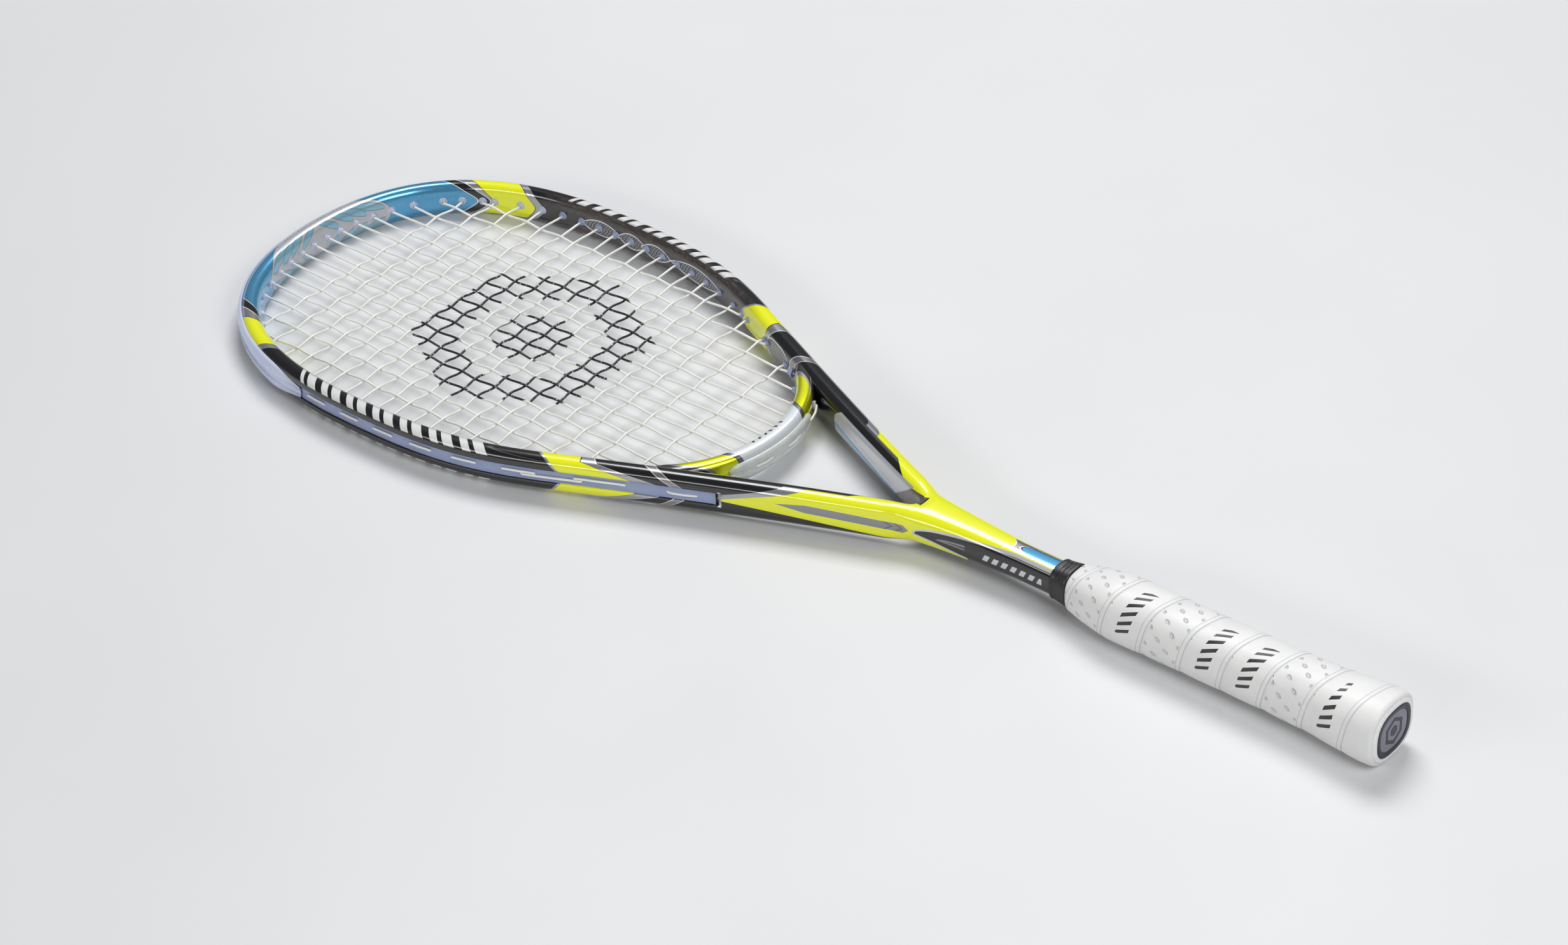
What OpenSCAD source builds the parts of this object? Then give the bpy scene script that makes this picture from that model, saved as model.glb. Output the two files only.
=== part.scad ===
// Squash racket: open-throat composite frame, woven string bed, wrapped handle.
// Origin at the middle of the butt end face, +X to the head tip, +Z square to the strings.

/* [Frame] */
// Overall length over the bumper guard
racket_length = 686; // [682:1:686]
// Width of the head between the centrelines of its two sides
head_width = 205.4; // [203:0.2:206]
// Distance from the butt to the widest place of the head
head_middle_x = 552; // [549:1:555]
// In-plane width of the frame tube at the sides of the head
tube_w = 9.2; // [9:0.1:9.6]
// In-plane width of the frame tube in the throat arms
arm_w = 10.6; // [10.2:0.1:10.8]
// Height of the frame beam at the head tip
beam_h_tip = 18.5; // [18:0.1:19.5]
// Height of the frame beam in the throat arms
beam_h_arm = 19.5; // [19:0.1:20.5]
// Wall of the hollow frame tube
wall = 1.3; // [1.1:0.1:1.4]

/* [Shaft and throat] */
// Width of the shaft
shaft_w = 15.2; // [14.8:0.1:15.4]
// Height of the shaft
shaft_h = 15.6; // [15.2:0.1:15.8]
// Distance from the butt to the crotch where the two arms part
fork_x = 268; // [267:1:269]
// Distance from the butt to the middle of the throat bridge
bridge_x = 358.7; // [358:0.1:359.5]
// Thickness of the throat bridge
bridge_w = 9.4; // [9:0.1:9.8]
// Height of the throat bridge
bridge_h = 16.6; // [16:0.1:17]

/* [Strings] */
// Diameter of the string
string_d = 1.25; // [1.1:0.01:1.3]
// Distances of the main strings from the racket's centreline, on each side
main_y = [4.75, 14, 24, 33.8, 43.8, 54.4, 66.4, 79];
// Distances of the cross strings from the butt
cross_x = [399.5, 423, 441.5, 456.5, 469.8, 481.6, 493.4, 505.1, 516.6, 528.2, 539.4, 550.7,
    562.3, 574, 586.2, 598.8, 611.4, 625, 640];

/* [Grommets] */
// Outer diameter of a grommet barrel
barrel_d = 2.9; // [2.7:0.1:3]
// How far a barrel stands out of the inner wall
barrel_out = 1.6; // [1.4:0.1:1.8]
// Distance from the butt to each end of the bumper guard
bumper_end_x = 588; // [586:1:590]
// How far the bumper guard stands out of the frame
bumper_t = 2.6; // [2.4:0.1:2.8]

/* [Handle] */
// Width of the wrapped handle
grip_w = 30.4; // [29.6:0.1:31]
// Height of the wrapped handle
grip_h = 28.4; // [27.6:0.1:29]
// Width of the flared butt
butt_w = 35.6; // [34.6:0.1:36]
// Height of the flared butt
butt_h = 32.6; // [31.6:0.1:33]
// Distance from the butt to the front end of the overgrip
grip_front_x = 173; // [171:0.5:174]
// Length of the rubber collar
collar_l = 10; // [9:0.5:12]
// Thickness of the overgrip
overgrip_t = 0.7; // [0.5:0.1:0.8]
// Thickness of the base grip
base_grip_t = 1.6; // [1.4:0.1:1.7]

/* [Hidden] */

// Clearance left between two pieces that only touch
gap = 0.05;
half_w = head_width / 2;
tip_x = racket_length - bumper_t - tube_w / 2;
// Share of each semi-axis that the handles of the head tip's curve take: more is squarer
tip_round = 0.65;
// Place where the side of the head runs into the throat arm, and the arm's lean there
corner = [430, 78.5];
corner_lean = [40, 18.5];
groove_d = 2;
groove_h = 3.6;
// The string groove starts here, past the throat arms
groove_x = 352;
bore_d = string_d + 0.35;
string_r = string_d / 2;
// Height of a cross string over the plane of the mains where it passes one
weave_z = string_d + 0.08;
// How far the string loops stand out of the bridge
bridge_loop_out = 2.4;
// A barrel starts this far past its seat's mouth
barrel_start = 0.4;
// From a tube's centreline to the mouths of its seats
hoop_reach = tube_w / 2 + barrel_out + barrel_start;
bridge_reach = bridge_w / 2 + barrel_out + barrel_start;

// ---------- paths in the plane of the strings ----------
function bezier(p, t) = pow(1 - t, 3) * p[0] + 3 * pow(1 - t, 2) * t * p[1]
    + 3 * (1 - t) * t * t * p[2] + pow(t, 3) * p[3];
function sampled(p, n) = [for (i = [0:n - 1]) bezier(p, i / n)];
function flipped(list) = [for (i = [len(list) - 1:-1:0]) list[i]];
function far_side(list) = [for (p = list) [p.x, -p.y]];
function unit(v) = v / norm(v);
function left_of(v) = [-v.y, v.x];
function heading(path, i) = unit(path[min(i + 1, len(path) - 1)] - path[max(i - 1, 0)]);

head_tip_curve = [[tip_x, 0], [tip_x, tip_round * half_w],
    [head_middle_x + tip_round * (tip_x - head_middle_x), half_w], [head_middle_x, half_w]];
head_side_curve = [[head_middle_x, half_w], [head_middle_x - 58, half_w],
    corner + corner_lean, corner];
arm_curve = [corner, corner - corner_lean, [330, 33], [280, 13.5]];
fork_curve = [[280, 13.5], [274, 11.3], [268, 9.2], [262, 7.2]];
tip_steps = 16;

// Centreline of one half of the frame tube, from the tip to the fork
half_path = concat(sampled(head_tip_curve, tip_steps), sampled(head_side_curve, 9),
    sampled(arm_curve, 6), sampled(fork_curve, 2), [fork_curve[3]]);
// The whole hairpin, from the near fork round the tip to the far fork
hairpin = concat(flipped(half_path), far_side([for (i = [1:len(half_path) - 1]) half_path[i]]));
// Centreline of the throat bridge, from its middle to the near arm, and then all of it
bridge_end = [392.5, 61.5];
bridge_half = concat(sampled([[bridge_x, 0], [bridge_x, 26.5], [371.5, 46.5], bridge_end], 12), [bridge_end]);
bridge_path = concat(flipped(far_side(bridge_half)), [for (i = [1:len(bridge_half) - 1]) bridge_half[i]]);

function width_at(x) = lookup(x, [[262, arm_w], [350, arm_w], [440, tube_w + 0.8],
    [head_middle_x, tube_w], [690, tube_w]]);
function height_at(x) = lookup(x, [[262, beam_h_arm], [350, beam_h_arm],
    [head_middle_x, (beam_h_arm + beam_h_tip) / 2], [690, beam_h_tip]]);

// ---------- cross sections, as [out, up] points, anticlockwise ----------
function superellipse(w, h, n, m) = [for (i = [0:m - 1]) let (c = cos(i * 360 / m), s = sin(i * 360 / m))
    [sign(c) * pow(abs(c), 2 / n) * w / 2, sign(s) * pow(abs(s), 2 / n) * h / 2]];
function beam_section(w, h, d) = let (a = w / 2, b = h / 2) [
    [a, -groove_h], [a - d, -groove_h], [a - d, groove_h], [a, groove_h], [a, b - 4],
    [a * 0.72, b - 1.2], [a * 0.25, b], [-a * 0.3, b], [-a * 0.78, b - 1.5], [-a, b - 5],
    [-a, 5 - b], [-a * 0.78, 1.5 - b], [-a * 0.3, -b], [a * 0.25, -b], [a * 0.72, 1.2 - b], [a, 4 - b]];
function strip_section(a) = let (r = groove_h - gap)
    [[a - groove_d + gap, -r], [a - 1.4, -r], [a - 1.4, r], [a - groove_d + gap, r]];
function bumper_section(a) = let (t = bumper_t, r = groove_h - gap) [
    [a - groove_d + gap, -r], [a + gap, -r], [a + gap, -6], [a + t * 0.5, -7.2], [a + t * 0.93, -5.4],
    [a + t, -2.1], [a - 1.4, -1.7], [a - 1.4, 1.7], [a + t, 2.1], [a + t * 0.93, 5.4],
    [a + t * 0.5, 7.2], [a + gap, 6], [a + gap, r], [a - groove_d + gap, r]];
function bridge_strip_section(a) = [[a + gap, -4.6], [a + 1.6, -3.6], [a + 1.6, 3.6], [a + gap, 4.6]];

// ---------- solids swept along a path ----------
// Closed solid through rings of points that all have the same number of points
module skin(rings) {
    m = len(rings[0]);
    n = len(rings);
    polyhedron(points = [for (r = rings) each r],
        faces = concat(
            [[for (j = [0:m - 1]) j]],
            [for (i = [0:n - 2], j = [0:m - 1])
                [i * m + j, (i + 1) * m + j, (i + 1) * m + (j + 1) % m, i * m + (j + 1) % m]],
            [[for (j = [m - 1:-1:0]) (n - 1) * m + j]]),
        convexity = 10);
}
// A section stood up at one point of a path
function placed(path, i, section) = let (side = left_of(heading(path, i)))
    [for (q = section) [path[i].x + side.x * q.x, path[i].y + side.y * q.x, q.y]];
// Loft along X through [x, width, height] stations
module loft(list, n = 3, m = 24) {
    skin([for (s = list) [for (q = superellipse(s[1], s[2], n, m)) [s[0], q.x, q.y]]]);
}
// Six-sided cord along points that wander little in height
module cord(points, r) {
    skin([for (i = [0:len(points) - 1])
        let (a = points[max(i - 1, 0)], b = points[min(i + 1, len(points) - 1)],
            side = left_of(unit([b.x - a.x, b.y - a.y])))
        [for (k = [0:5]) let (c = r * cos(k * 60), s = r * sin(k * 60))
            [points[i].x + side.x * c, points[i].y + side.y * c, points[i].z + s]]]);
}

// ---------- seats: where a string crosses the frame ----------
// A seat is [mouth, outward direction, distance from the mouth to the frame's outer face,
// lean]. The mouth is the point on the string just inside the barrel, and the lean is how much
// longer than straight through the hole runs.
half_out = [for (i = [0:len(half_path) - 1]) -left_of(heading(half_path, i))];
hoop_mouths = [for (i = [0:len(half_path) - 1]) half_path[i] - half_out[i] * hoop_reach];
bridge_out = [for (i = [0:len(bridge_half) - 1]) left_of(heading(bridge_half, i))];
bridge_mouths = [for (i = [0:len(bridge_half) - 1]) bridge_half[i] - bridge_out[i] * bridge_reach];
function angle_of(v) = atan2(v.y, v.x);
function seat(mouth, angle, depth) = [mouth, [cos(angle), sin(angle)], depth, 1];
function mirrored(s, side) = [[s[0].x, side * s[0].y], [s[1].x, side * s[1].y], s[2], s[3]];
function hoop_depth(x) = hoop_reach + width_at(x) / 2;

// Indices of the half path that run by rising x, and by rising y at the tip and at the foot
rising = [len(half_path) - 1:-1:0];
tip_range = [0:tip_steps];
foot_range = [len(half_path) - 1:-1:tip_steps + 4];
function cross_seat(x, side) = mirrored(seat(
    [x, lookup(x, [for (i = rising) [hoop_mouths[i].x, hoop_mouths[i].y]])],
    lookup(x, [for (i = rising) [hoop_mouths[i].x, angle_of(half_out[i])]]), hoop_depth(x)), side);
function hoop_seat_by_y(y, range) =
    let (x = lookup(abs(y), [for (i = range) [hoop_mouths[i].y, hoop_mouths[i].x]]))
    mirrored(seat([x, abs(y)],
        lookup(abs(y), [for (i = range) [hoop_mouths[i].y, angle_of(half_out[i])]]),
        hoop_depth(x)), sign(y));
function bridge_mouth_x(y) = lookup(abs(y), [for (p = bridge_mouths) [p.y, p.x]]);
function bridge_seat(y) = mirrored(seat([bridge_mouth_x(y), abs(y)],
    lookup(abs(y), [for (i = [0:len(bridge_half) - 1]) [bridge_mouths[i].y, angle_of(bridge_out[i])]]),
    bridge_reach + bridge_w / 2), sign(y));
// The mains nearest the middle end in the bridge, the next two run on through bridge and arm to
// these places on the arm's outer face, and the others end in the head's lower corners
bridge_span = 40;
through_span = 60;
through_exits = [[43.8, [361, 51.9]], [54.4, [374, 57.9]]];
through_lean = 1.4;
function through_seat(y) =
    let (mouth = [bridge_mouth_x(y), abs(y)],
        exit = [for (e = through_exits) if (e[0] == abs(y)) e[1]][0])
    mirrored([mouth, unit(exit - mouth), norm(exit - mouth), through_lean], sign(y));
function on_bridge(y) = abs(y) < bridge_span;
function head_seat(y) = hoop_seat_by_y(y, tip_range);
function foot_seat(y) = on_bridge(y) ? bridge_seat(y)
    : abs(y) < through_span ? through_seat(y) : hoop_seat_by_y(y, foot_range);
// Distance from the mouth to a string loop in the groove, and to the foot of the barrel
function loop_at(s) = s[2] - 0.45 * s[3];
function barrel_foot(s) = s[2] - 1.6 * s[3];

all_main_y = concat(flipped([for (y = main_y) -y]), main_y);
bridge_seats = [for (y = all_main_y) if (on_bridge(y)) foot_seat(y)];
hoop_seats = concat([for (x = cross_x, s = [-1, 1]) cross_seat(x, s)],
    [for (y = all_main_y) head_seat(y)], [for (y = all_main_y) if (!on_bridge(y)) foot_seat(y)]);

// Octagonal bar along a seat's direction, between two distances from its mouth
module seat_bar(s, from, to, d) {
    translate([s[0].x, s[0].y, 0]) rotate([0, 0, angle_of(s[1])]) translate([from, 0, 0])
        rotate([0, 90, 0]) cylinder(d = d, h = to - from, $fn = 8);
}

// ---------- frame ----------
module hoop(grow, with_groove) {
    skin([for (i = [0:len(hairpin) - 1])
        let (x = hairpin[i].x, w = width_at(x) + 2 * grow, h = height_at(x) + 2 * grow)
        placed(hairpin, i, beam_section(w, h, with_groove && x > groove_x ? groove_d : 0.1))]);
}
module hoop_hollow() {
    skin([for (i = [0:len(hairpin) - 1])
        let (x = hairpin[i].x, notch = x > groove_x ? groove_d : 0,
            section = superellipse(width_at(x) - 2 * wall - notch, height_at(x) - 2 * wall, 3, 8))
        placed(hairpin, i, [for (q = section) q - [notch / 2, 0]])]);
}
// Stations of the shaft and the fork, less an amount all round
function shaft_list(first_x, last_x, less) = [[first_x, shaft_w - less, shaft_h - less],
    [206, shaft_w - less, shaft_h - less], [215, 16.3 - less, 16.4 - less],
    [225, 17.3 - less, 17.2 - less], [235, 18.8 - less, 17.9 - less],
    [250, 21.8 - less, 18.6 - less], [262, 25.6 - less, 19 - less], [last_x, 27.6 - less, 19.2 - less]];
module frame_tube() {
    color([0.10, 0.10, 0.11]) difference() {
        union() {
            hoop(0, true);
            loft(shaft_list(12, fork_x, 0));
        }
        hoop_hollow();
        loft(shaft_list(6, fork_x - 2 * wall, 2 * wall));
        for (s = hoop_seats) seat_bar(s, -2, s[2] + 3, barrel_d + 2 * gap);
    }
}
module throat_bridge() {
    color([0.85, 0.90, 0.10]) difference() {
        skin([for (i = [0:len(bridge_path) - 1])
            placed(bridge_path, i, superellipse(bridge_w, bridge_h, 3.4, 12))]);
        hoop(gap, false);
        for (s = bridge_seats) seat_bar(s, -2, s[2] + 3, barrel_d + 2 * gap);
        for (s = hoop_seats) if (s[0].x < corner.x) seat_bar(s, -2, s[2], barrel_d + 2 * gap);
    }
}

// ---------- grommets ----------
// Strip or bumper between two distances, on one side (1 near, -1 far) or both (0)
module grommet_run(from_x, to_x, side, as_bumper) {
    seats = [for (s = hoop_seats)
        if (s[0].x > from_x && s[0].x < to_x && (side == 0 || sign(s[0].y) == side)) s];
    difference() {
        union() {
            skin([for (i = [0:len(hairpin) - 1]) let (p = hairpin[i], a = width_at(p.x) / 2)
                if (p.x > from_x && p.x < to_x && (side == 0 || sign(p.y) == side))
                placed(hairpin, i, as_bumper ? bumper_section(a) : strip_section(a))]);
            for (s = seats) seat_bar(s, barrel_start, barrel_foot(s), barrel_d);
        }
        for (s = seats) seat_bar(s, -1, s[2] + 1, bore_d);
    }
}
module bumper_guard() {
    color([0.80, 0.83, 0.93]) grommet_run(bumper_end_x, 700, 0, true);
}
module near_grommet_strip() {
    color([0.80, 0.83, 0.93]) grommet_run(groove_x + 2, bumper_end_x - 1, 1, false);
}
module far_grommet_strip() {
    color([0.80, 0.83, 0.93]) grommet_run(groove_x + 2, bumper_end_x - 1, -1, false);
}
module throat_grommet_strip() {
    rim = bridge_w / 2;
    strip_half = 28;
    color([0.90, 0.92, 0.92]) difference() {
        union() {
            skin([for (i = [0:len(bridge_path) - 1]) if (abs(bridge_path[i].y) < strip_half)
                placed(bridge_path, i, bridge_strip_section(rim))]);
            for (s = bridge_seats) {
                seat_bar(s, barrel_start, s[2] + 0.8, barrel_d);
                seat_bar(s, s[2] + gap, s[2] + 0.9, barrel_d + 1.8);
            }
        }
        for (s = bridge_seats) seat_bar(s, -1, s[2] + 3, bore_d);
    }
}

// ---------- strings ----------
function seat_point(s, along) = [s[0].x + s[1].x * along, s[0].y + s[1].y * along, 0];
// A string from a seat's mouth out to its loop. The loops of the mains lie low in the groove
// and those of the crosses high, so that they pass each other.
loop_z = 0.85;
function seat_end(s, z) = [seat_point(s, 0), seat_point(s, s[2] - 1.35 * s[3]),
    seat_point(s, loop_at(s)) + [0, 0, z]];
function bridge_end_of_main(s) = [seat_point(s, 0), seat_point(s, s[2] + bridge_loop_out)];
// One main, from its loop at the head to its loop at the foot
function main_run(y) = let (foot = foot_seat(y)) concat(flipped(seat_end(head_seat(y), -loop_z)),
    on_bridge(y) ? bridge_end_of_main(foot) : seat_end(foot, -loop_z));
// The loop between two mains that end in a lower corner follows the groove
function corner_loop(y, next) = abs(y) < through_span || abs(next) < through_span ? []
    : [for (t = [0.25, 0.5, 0.75]) let (s = hoop_seat_by_y(y + (next - y) * t, foot_range))
        seat_point(s, loop_at(s)) - [0, 0, loop_z]];
function mains_path(k = 0) = k == len(all_main_y) ? []
    : let (run = main_run(all_main_y[k]))
    concat(k % 2 == 0 ? concat(run, corner_loop(all_main_y[k], all_main_y[k + 1])) : flipped(run),
        mains_path(k + 1));
module main_strings() {
    color([0.93, 0.93, 0.90]) cord(mains_path(), string_r);
}
// One cross, from the far side to the near side, over and under the mains
function cross_run(k) = let (x = cross_x[k], far = cross_seat(x, -1), near = cross_seat(x, 1),
        y_end = near[0].y - 1.2)
    concat(flipped(seat_end(far, loop_z)),
        [for (i = [0:len(all_main_y) - 1]) if (abs(all_main_y[i]) < y_end)
            [x, all_main_y[i], (i + k) % 2 == 0 ? weave_z : -weave_z]],
        seat_end(near, loop_z));
function crosses_path(k = 0) = k == len(cross_x) ? []
    : concat(k % 2 == 0 ? cross_run(k) : flipped(cross_run(k)), crosses_path(k + 1));
module cross_strings() {
    color([0.93, 0.93, 0.90]) cord(crosses_path(), string_r);
}

// ---------- handle ----------
// Outer surface of the wrapped handle, as [x, width, height]
handle_list = [[3, butt_w - 0.6, butt_h - 0.6], [8, butt_w, butt_h], [17, butt_w - 0.8, butt_h - 0.6],
    [34, grip_w + 1.2, grip_h + 1.4], [60, grip_w, grip_h], [120, grip_w, grip_h],
    [148, grip_w + 0.8, grip_h + 0.8], [160, grip_w - 3, grip_h - 2.8], [168, 24, 23.4],
    [grip_front_x, 21.6, 21.2]];
// Both wraps together, across the whole width
wraps = 2 * (overgrip_t + base_grip_t) + 2 * gap;
cap_l = 8;
skirt_x = 24;
skirt_t = 1.6;
base_grip_x = 163;
pallet_x = 166;
badge_w = 26.6;
badge_h = 24.2;
badge_t = 0.8;
ring_w = 2.8;

// The handle's outer surface, less an amount across, between two distances
module handle_body(less, from_x, to_x) {
    intersection() {
        loft([for (s = handle_list) [s[0], s[1] - less, s[2] - less]]);
        translate([from_x, -50, -50]) cube([to_x - from_x, 100, 100]);
    }
}
module shaft_bore(clear) {
    loft([[-20, shaft_w + 2 * clear, shaft_h + 2 * clear], [240, shaft_w + 2 * clear, shaft_h + 2 * clear]]);
}
module handle_pallet(side) {
    color([0.85, 0.80, 0.62]) difference() {
        union() {
            handle_body(wraps + 2 * skirt_t + 2 * gap, cap_l + 1, skirt_x + 1);
            handle_body(wraps, skirt_x + gap, pallet_x);
        }
        shaft_bore(gap);
        translate([0, side > 0 ? -60 + gap : -gap, -40]) cube([200, 60, 80]);
        for (s = staple_legs) staple_leg(s[0], s[1], 0.5 + gap);
    }
}
module near_handle_pallet() { handle_pallet(1); }
module far_handle_pallet() { handle_pallet(-1); }

module butt_cap() {
    color([0.93, 0.93, 0.93]) difference() {
        union() {
            loft([[0, butt_w - 5.5, butt_h - 5.5], [1.2, butt_w - 3.4, butt_h - 3.4],
                [3.5, butt_w - 2.3, butt_h - 2.3], [cap_l, butt_w - 2.3, butt_h - 2.3]]);
            handle_body(wraps, cap_l - 0.5, skirt_x);
        }
        badge_disc(badge_w + 2 * gap, badge_h + 2 * gap, badge_t);
        handle_body(wraps + 2 * skirt_t, cap_l, skirt_x + 1);
        for (s = staple_legs) staple_leg(s[0], s[1], 0.5 + gap);
        for (side = [-1, 1]) staple_crown(side, 0.5 + gap);
    }
}
// Staples through the cap's skirt into the pallets, above and below
staple_x = 17;
staple_half = 5;
staple_z = 13.1;
staple_legs = [for (side = [-1, 1], end = [-1, 1]) [side, end]];
module staple_leg(side, end, r) {
    translate([staple_x - r, end * staple_half - r, side > 0 ? staple_z - 5 : -staple_z])
        cube([2 * r, 2 * r, 5]);
}
module staple_crown(side, r) {
    translate([staple_x - r, -staple_half - r, side > 0 ? staple_z - 0.5 : -staple_z - 1])
        cube([2 * r, 2 * staple_half + 2 * r, 1.5]);
}
module cap_staples() {
    color([0.62, 0.63, 0.65]) for (side = [-1, 1]) intersection() {
        union() {
            staple_crown(side, 0.5);
            for (end = [-1, 1]) staple_leg(side, end, 0.5);
        }
        handle_body(wraps + 2 * gap, cap_l, skirt_x);
    }
}
module badge_disc(w, h, t) {
    loft([[-1, w, h], [t, w, h]], 2.6, 32);
}
module badge_ring() {
    color([0.06, 0.07, 0.12]) difference() {
        badge_slab(badge_w, badge_h);
        badge_disc(badge_w - 2 * ring_w, badge_h - 2 * ring_w, 2);
    }
}
module badge_plate() {
    color([0.48, 0.48, 0.53]) badge_slab(badge_w - 2 * ring_w - 2 * gap, badge_h - 2 * ring_w - 2 * gap);
}
module badge_slab(w, h) {
    loft([[0, w, h], [badge_t - gap, w, h]], 2.6, 32);
}
module base_grip() {
    color([0.20, 0.20, 0.22]) difference() {
        handle_body(2 * overgrip_t + gap, cap_l + gap, base_grip_x);
        handle_body(wraps - gap, 0, 200);
    }
}
module finishing_tape() {
    color([0.08, 0.08, 0.08]) difference() {
        handle_body(2 * overgrip_t + gap, base_grip_x + gap, grip_front_x - 1);
        handle_body(wraps - gap, 0, 200);
    }
}
module overgrip() {
    color([0.96, 0.96, 0.95]) difference() {
        handle_body(0, 3, grip_front_x);
        handle_body(2 * overgrip_t, -1, 200);
    }
}
collar_x = grip_front_x + 0.3;
module grip_collar() {
    color([0.05, 0.05, 0.05]) difference() {
        loft([[collar_x, 19.6, 19.8], [collar_x + 2.5, 19, 19.2], [collar_x + 6, 18.2, 18.6],
            [collar_x + collar_l - 1.2, 17.6, 18], [collar_x + collar_l, 17, 17.4]]);
        shaft_bore(0.3);
    }
}

frame_tube();
throat_bridge();
bumper_guard();
near_grommet_strip();
far_grommet_strip();
throat_grommet_strip();
main_strings();
cross_strings();
near_handle_pallet();
far_handle_pallet();
butt_cap();
cap_staples();
badge_ring();
badge_plate();
base_grip();
finishing_tape();
overgrip();
grip_collar();
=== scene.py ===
"""Squash racket: the visual model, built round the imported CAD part. Lengths here are in millimetres."""
import math
from functools import partialmethod

import bmesh
import bpy
import numpy as np
from mathutils import Matrix, Vector


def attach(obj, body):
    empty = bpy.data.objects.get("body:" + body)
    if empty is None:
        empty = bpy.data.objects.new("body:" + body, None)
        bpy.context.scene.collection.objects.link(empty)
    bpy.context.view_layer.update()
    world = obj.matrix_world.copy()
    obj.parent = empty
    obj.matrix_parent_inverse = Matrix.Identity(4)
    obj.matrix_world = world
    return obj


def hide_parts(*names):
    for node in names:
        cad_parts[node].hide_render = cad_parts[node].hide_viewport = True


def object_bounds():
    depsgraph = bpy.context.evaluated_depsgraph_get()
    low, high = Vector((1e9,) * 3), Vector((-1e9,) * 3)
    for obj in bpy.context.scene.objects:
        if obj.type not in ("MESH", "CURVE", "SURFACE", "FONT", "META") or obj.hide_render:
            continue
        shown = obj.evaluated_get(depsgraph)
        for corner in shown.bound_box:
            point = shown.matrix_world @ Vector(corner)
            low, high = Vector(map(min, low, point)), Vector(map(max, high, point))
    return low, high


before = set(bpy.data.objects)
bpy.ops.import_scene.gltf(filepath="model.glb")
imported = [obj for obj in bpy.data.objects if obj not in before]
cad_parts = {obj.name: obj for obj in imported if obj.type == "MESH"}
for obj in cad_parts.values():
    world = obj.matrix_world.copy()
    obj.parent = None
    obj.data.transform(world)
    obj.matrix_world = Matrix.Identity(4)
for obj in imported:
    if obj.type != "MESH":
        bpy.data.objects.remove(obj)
cad_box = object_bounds()
MM = 0.001
TINY = 1e-9

# ---------- sizes, as in the CAD part ----------
LENGTH = cad_box[1].x / MM
BUMPER_T = 2.6
TUBE_W = 9.2
HALF_W = 102.7
HEAD_MIDDLE_X = 552
TIP_X = LENGTH - BUMPER_T - TUBE_W / 2
TIP_ROUND = 0.65
CORNER = np.array([430, 78.5])
CORNER_LEAN = np.array([40, 18.5])
SIDE_REACH = 58
ARM_PULL = (330, 33)
ARM_END = (280, 13.5)
FORK_END_X = 262
PATH_STEP = 1.25
BEAM_WIDTHS = ([262, 350, 440, 552, 690], [10.6, 10.6, 10.0, 9.2, 9.2])
BEAM_HEIGHTS = ([262, 350, 552, 690], [19.5, 19.5, 19.0, 18.5])
GROOVE_X = 352
GROOVE_D = 2.0
GROOVE_H = 3.6
BARREL_OUT = 1.6
BARREL_R = 1.45
STRING_R = 0.625
BRIDGE_X = 358.7
BRIDGE_W = 9.4
BRIDGE_H = 16.6
BRIDGE_END = (392.5, 61.5)
BUMPER_END_X = 588
MAIN_Y = [4.75, 14, 24, 33.8, 43.8, 54.4, 66.4, 79]
CROSS_X = [399.5, 423, 441.5, 456.5, 469.8, 481.6, 493.4, 505.1, 516.6, 528.2, 539.4, 550.7,
           562.3, 574, 586.2, 598.8, 611.4, 625, 640]
THROUGH_EXITS = {43.8: (361, 51.9), 54.4: (374, 57.9)}
SHAFT = [(160, 15.2, 15.6), (206, 15.2, 15.6), (215, 16.3, 16.4), (225, 17.3, 17.2),
         (235, 18.8, 17.9), (250, 21.8, 18.6), (262, 25.6, 19.0), (268, 27.6, 19.2)]
HANDLE = [(3, 35.0, 32.0), (8, 35.6, 32.6), (17, 34.8, 32.0), (34, 31.6, 29.8), (60, 30.4, 28.4),
          (120, 30.4, 28.4), (148, 31.2, 29.2), (160, 27.4, 25.6), (168, 24.0, 23.4), (173, 21.6, 21.2)]
HANDLE_POWER = 2.7
COLLAR_X = 173.3
WRAP_PITCH = 22.05
WRAP_START = 15.0
STATION_STEP = 0.5
STATION_REACH = 8


# ---------- curves in the plane of the strings ----------
def bezier(points, count):
    """count + 1 points along a cubic curve with these four control points."""
    p = np.array(points, float)
    t = np.linspace(0, 1, count + 1)[:, None]
    return (1 - t)**3 * p[0] + 3 * (1 - t)**2 * t * p[1] + 3 * (1 - t) * t * t * p[2] + t**3 * p[3]


def joined(*runs):
    """Runs of points end to end, each starting where the last one stopped."""
    return np.concatenate([runs[0]] + [run[1:] for run in runs[1:]])


def lengths(path):
    """Distance along the path to each of its points."""
    return np.concatenate([[0], np.cumsum(np.linalg.norm(np.diff(path, axis=0), axis=1))])


def resampled(path, step):
    """The same path with its points evenly spaced."""
    s = lengths(path)
    at = np.linspace(0, s[-1], max(2, int(round(s[-1] / step)) + 1))
    return np.stack([np.interp(at, s, path[:, k]) for k in range(path.shape[1])], 1)


def headings(path):
    """Unit vectors along the path."""
    d = np.gradient(path, axis=0)
    return d / np.linalg.norm(d, axis=1)[:, None]


def square_to(half):
    """Unit vectors to the left of a path that starts in the middle plane and goes to positive y."""
    head = headings(np.concatenate([[half[1] * (1, -1)], half]))[1:]
    return np.stack([-head[:, 1], head[:, 0]], 1)


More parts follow.
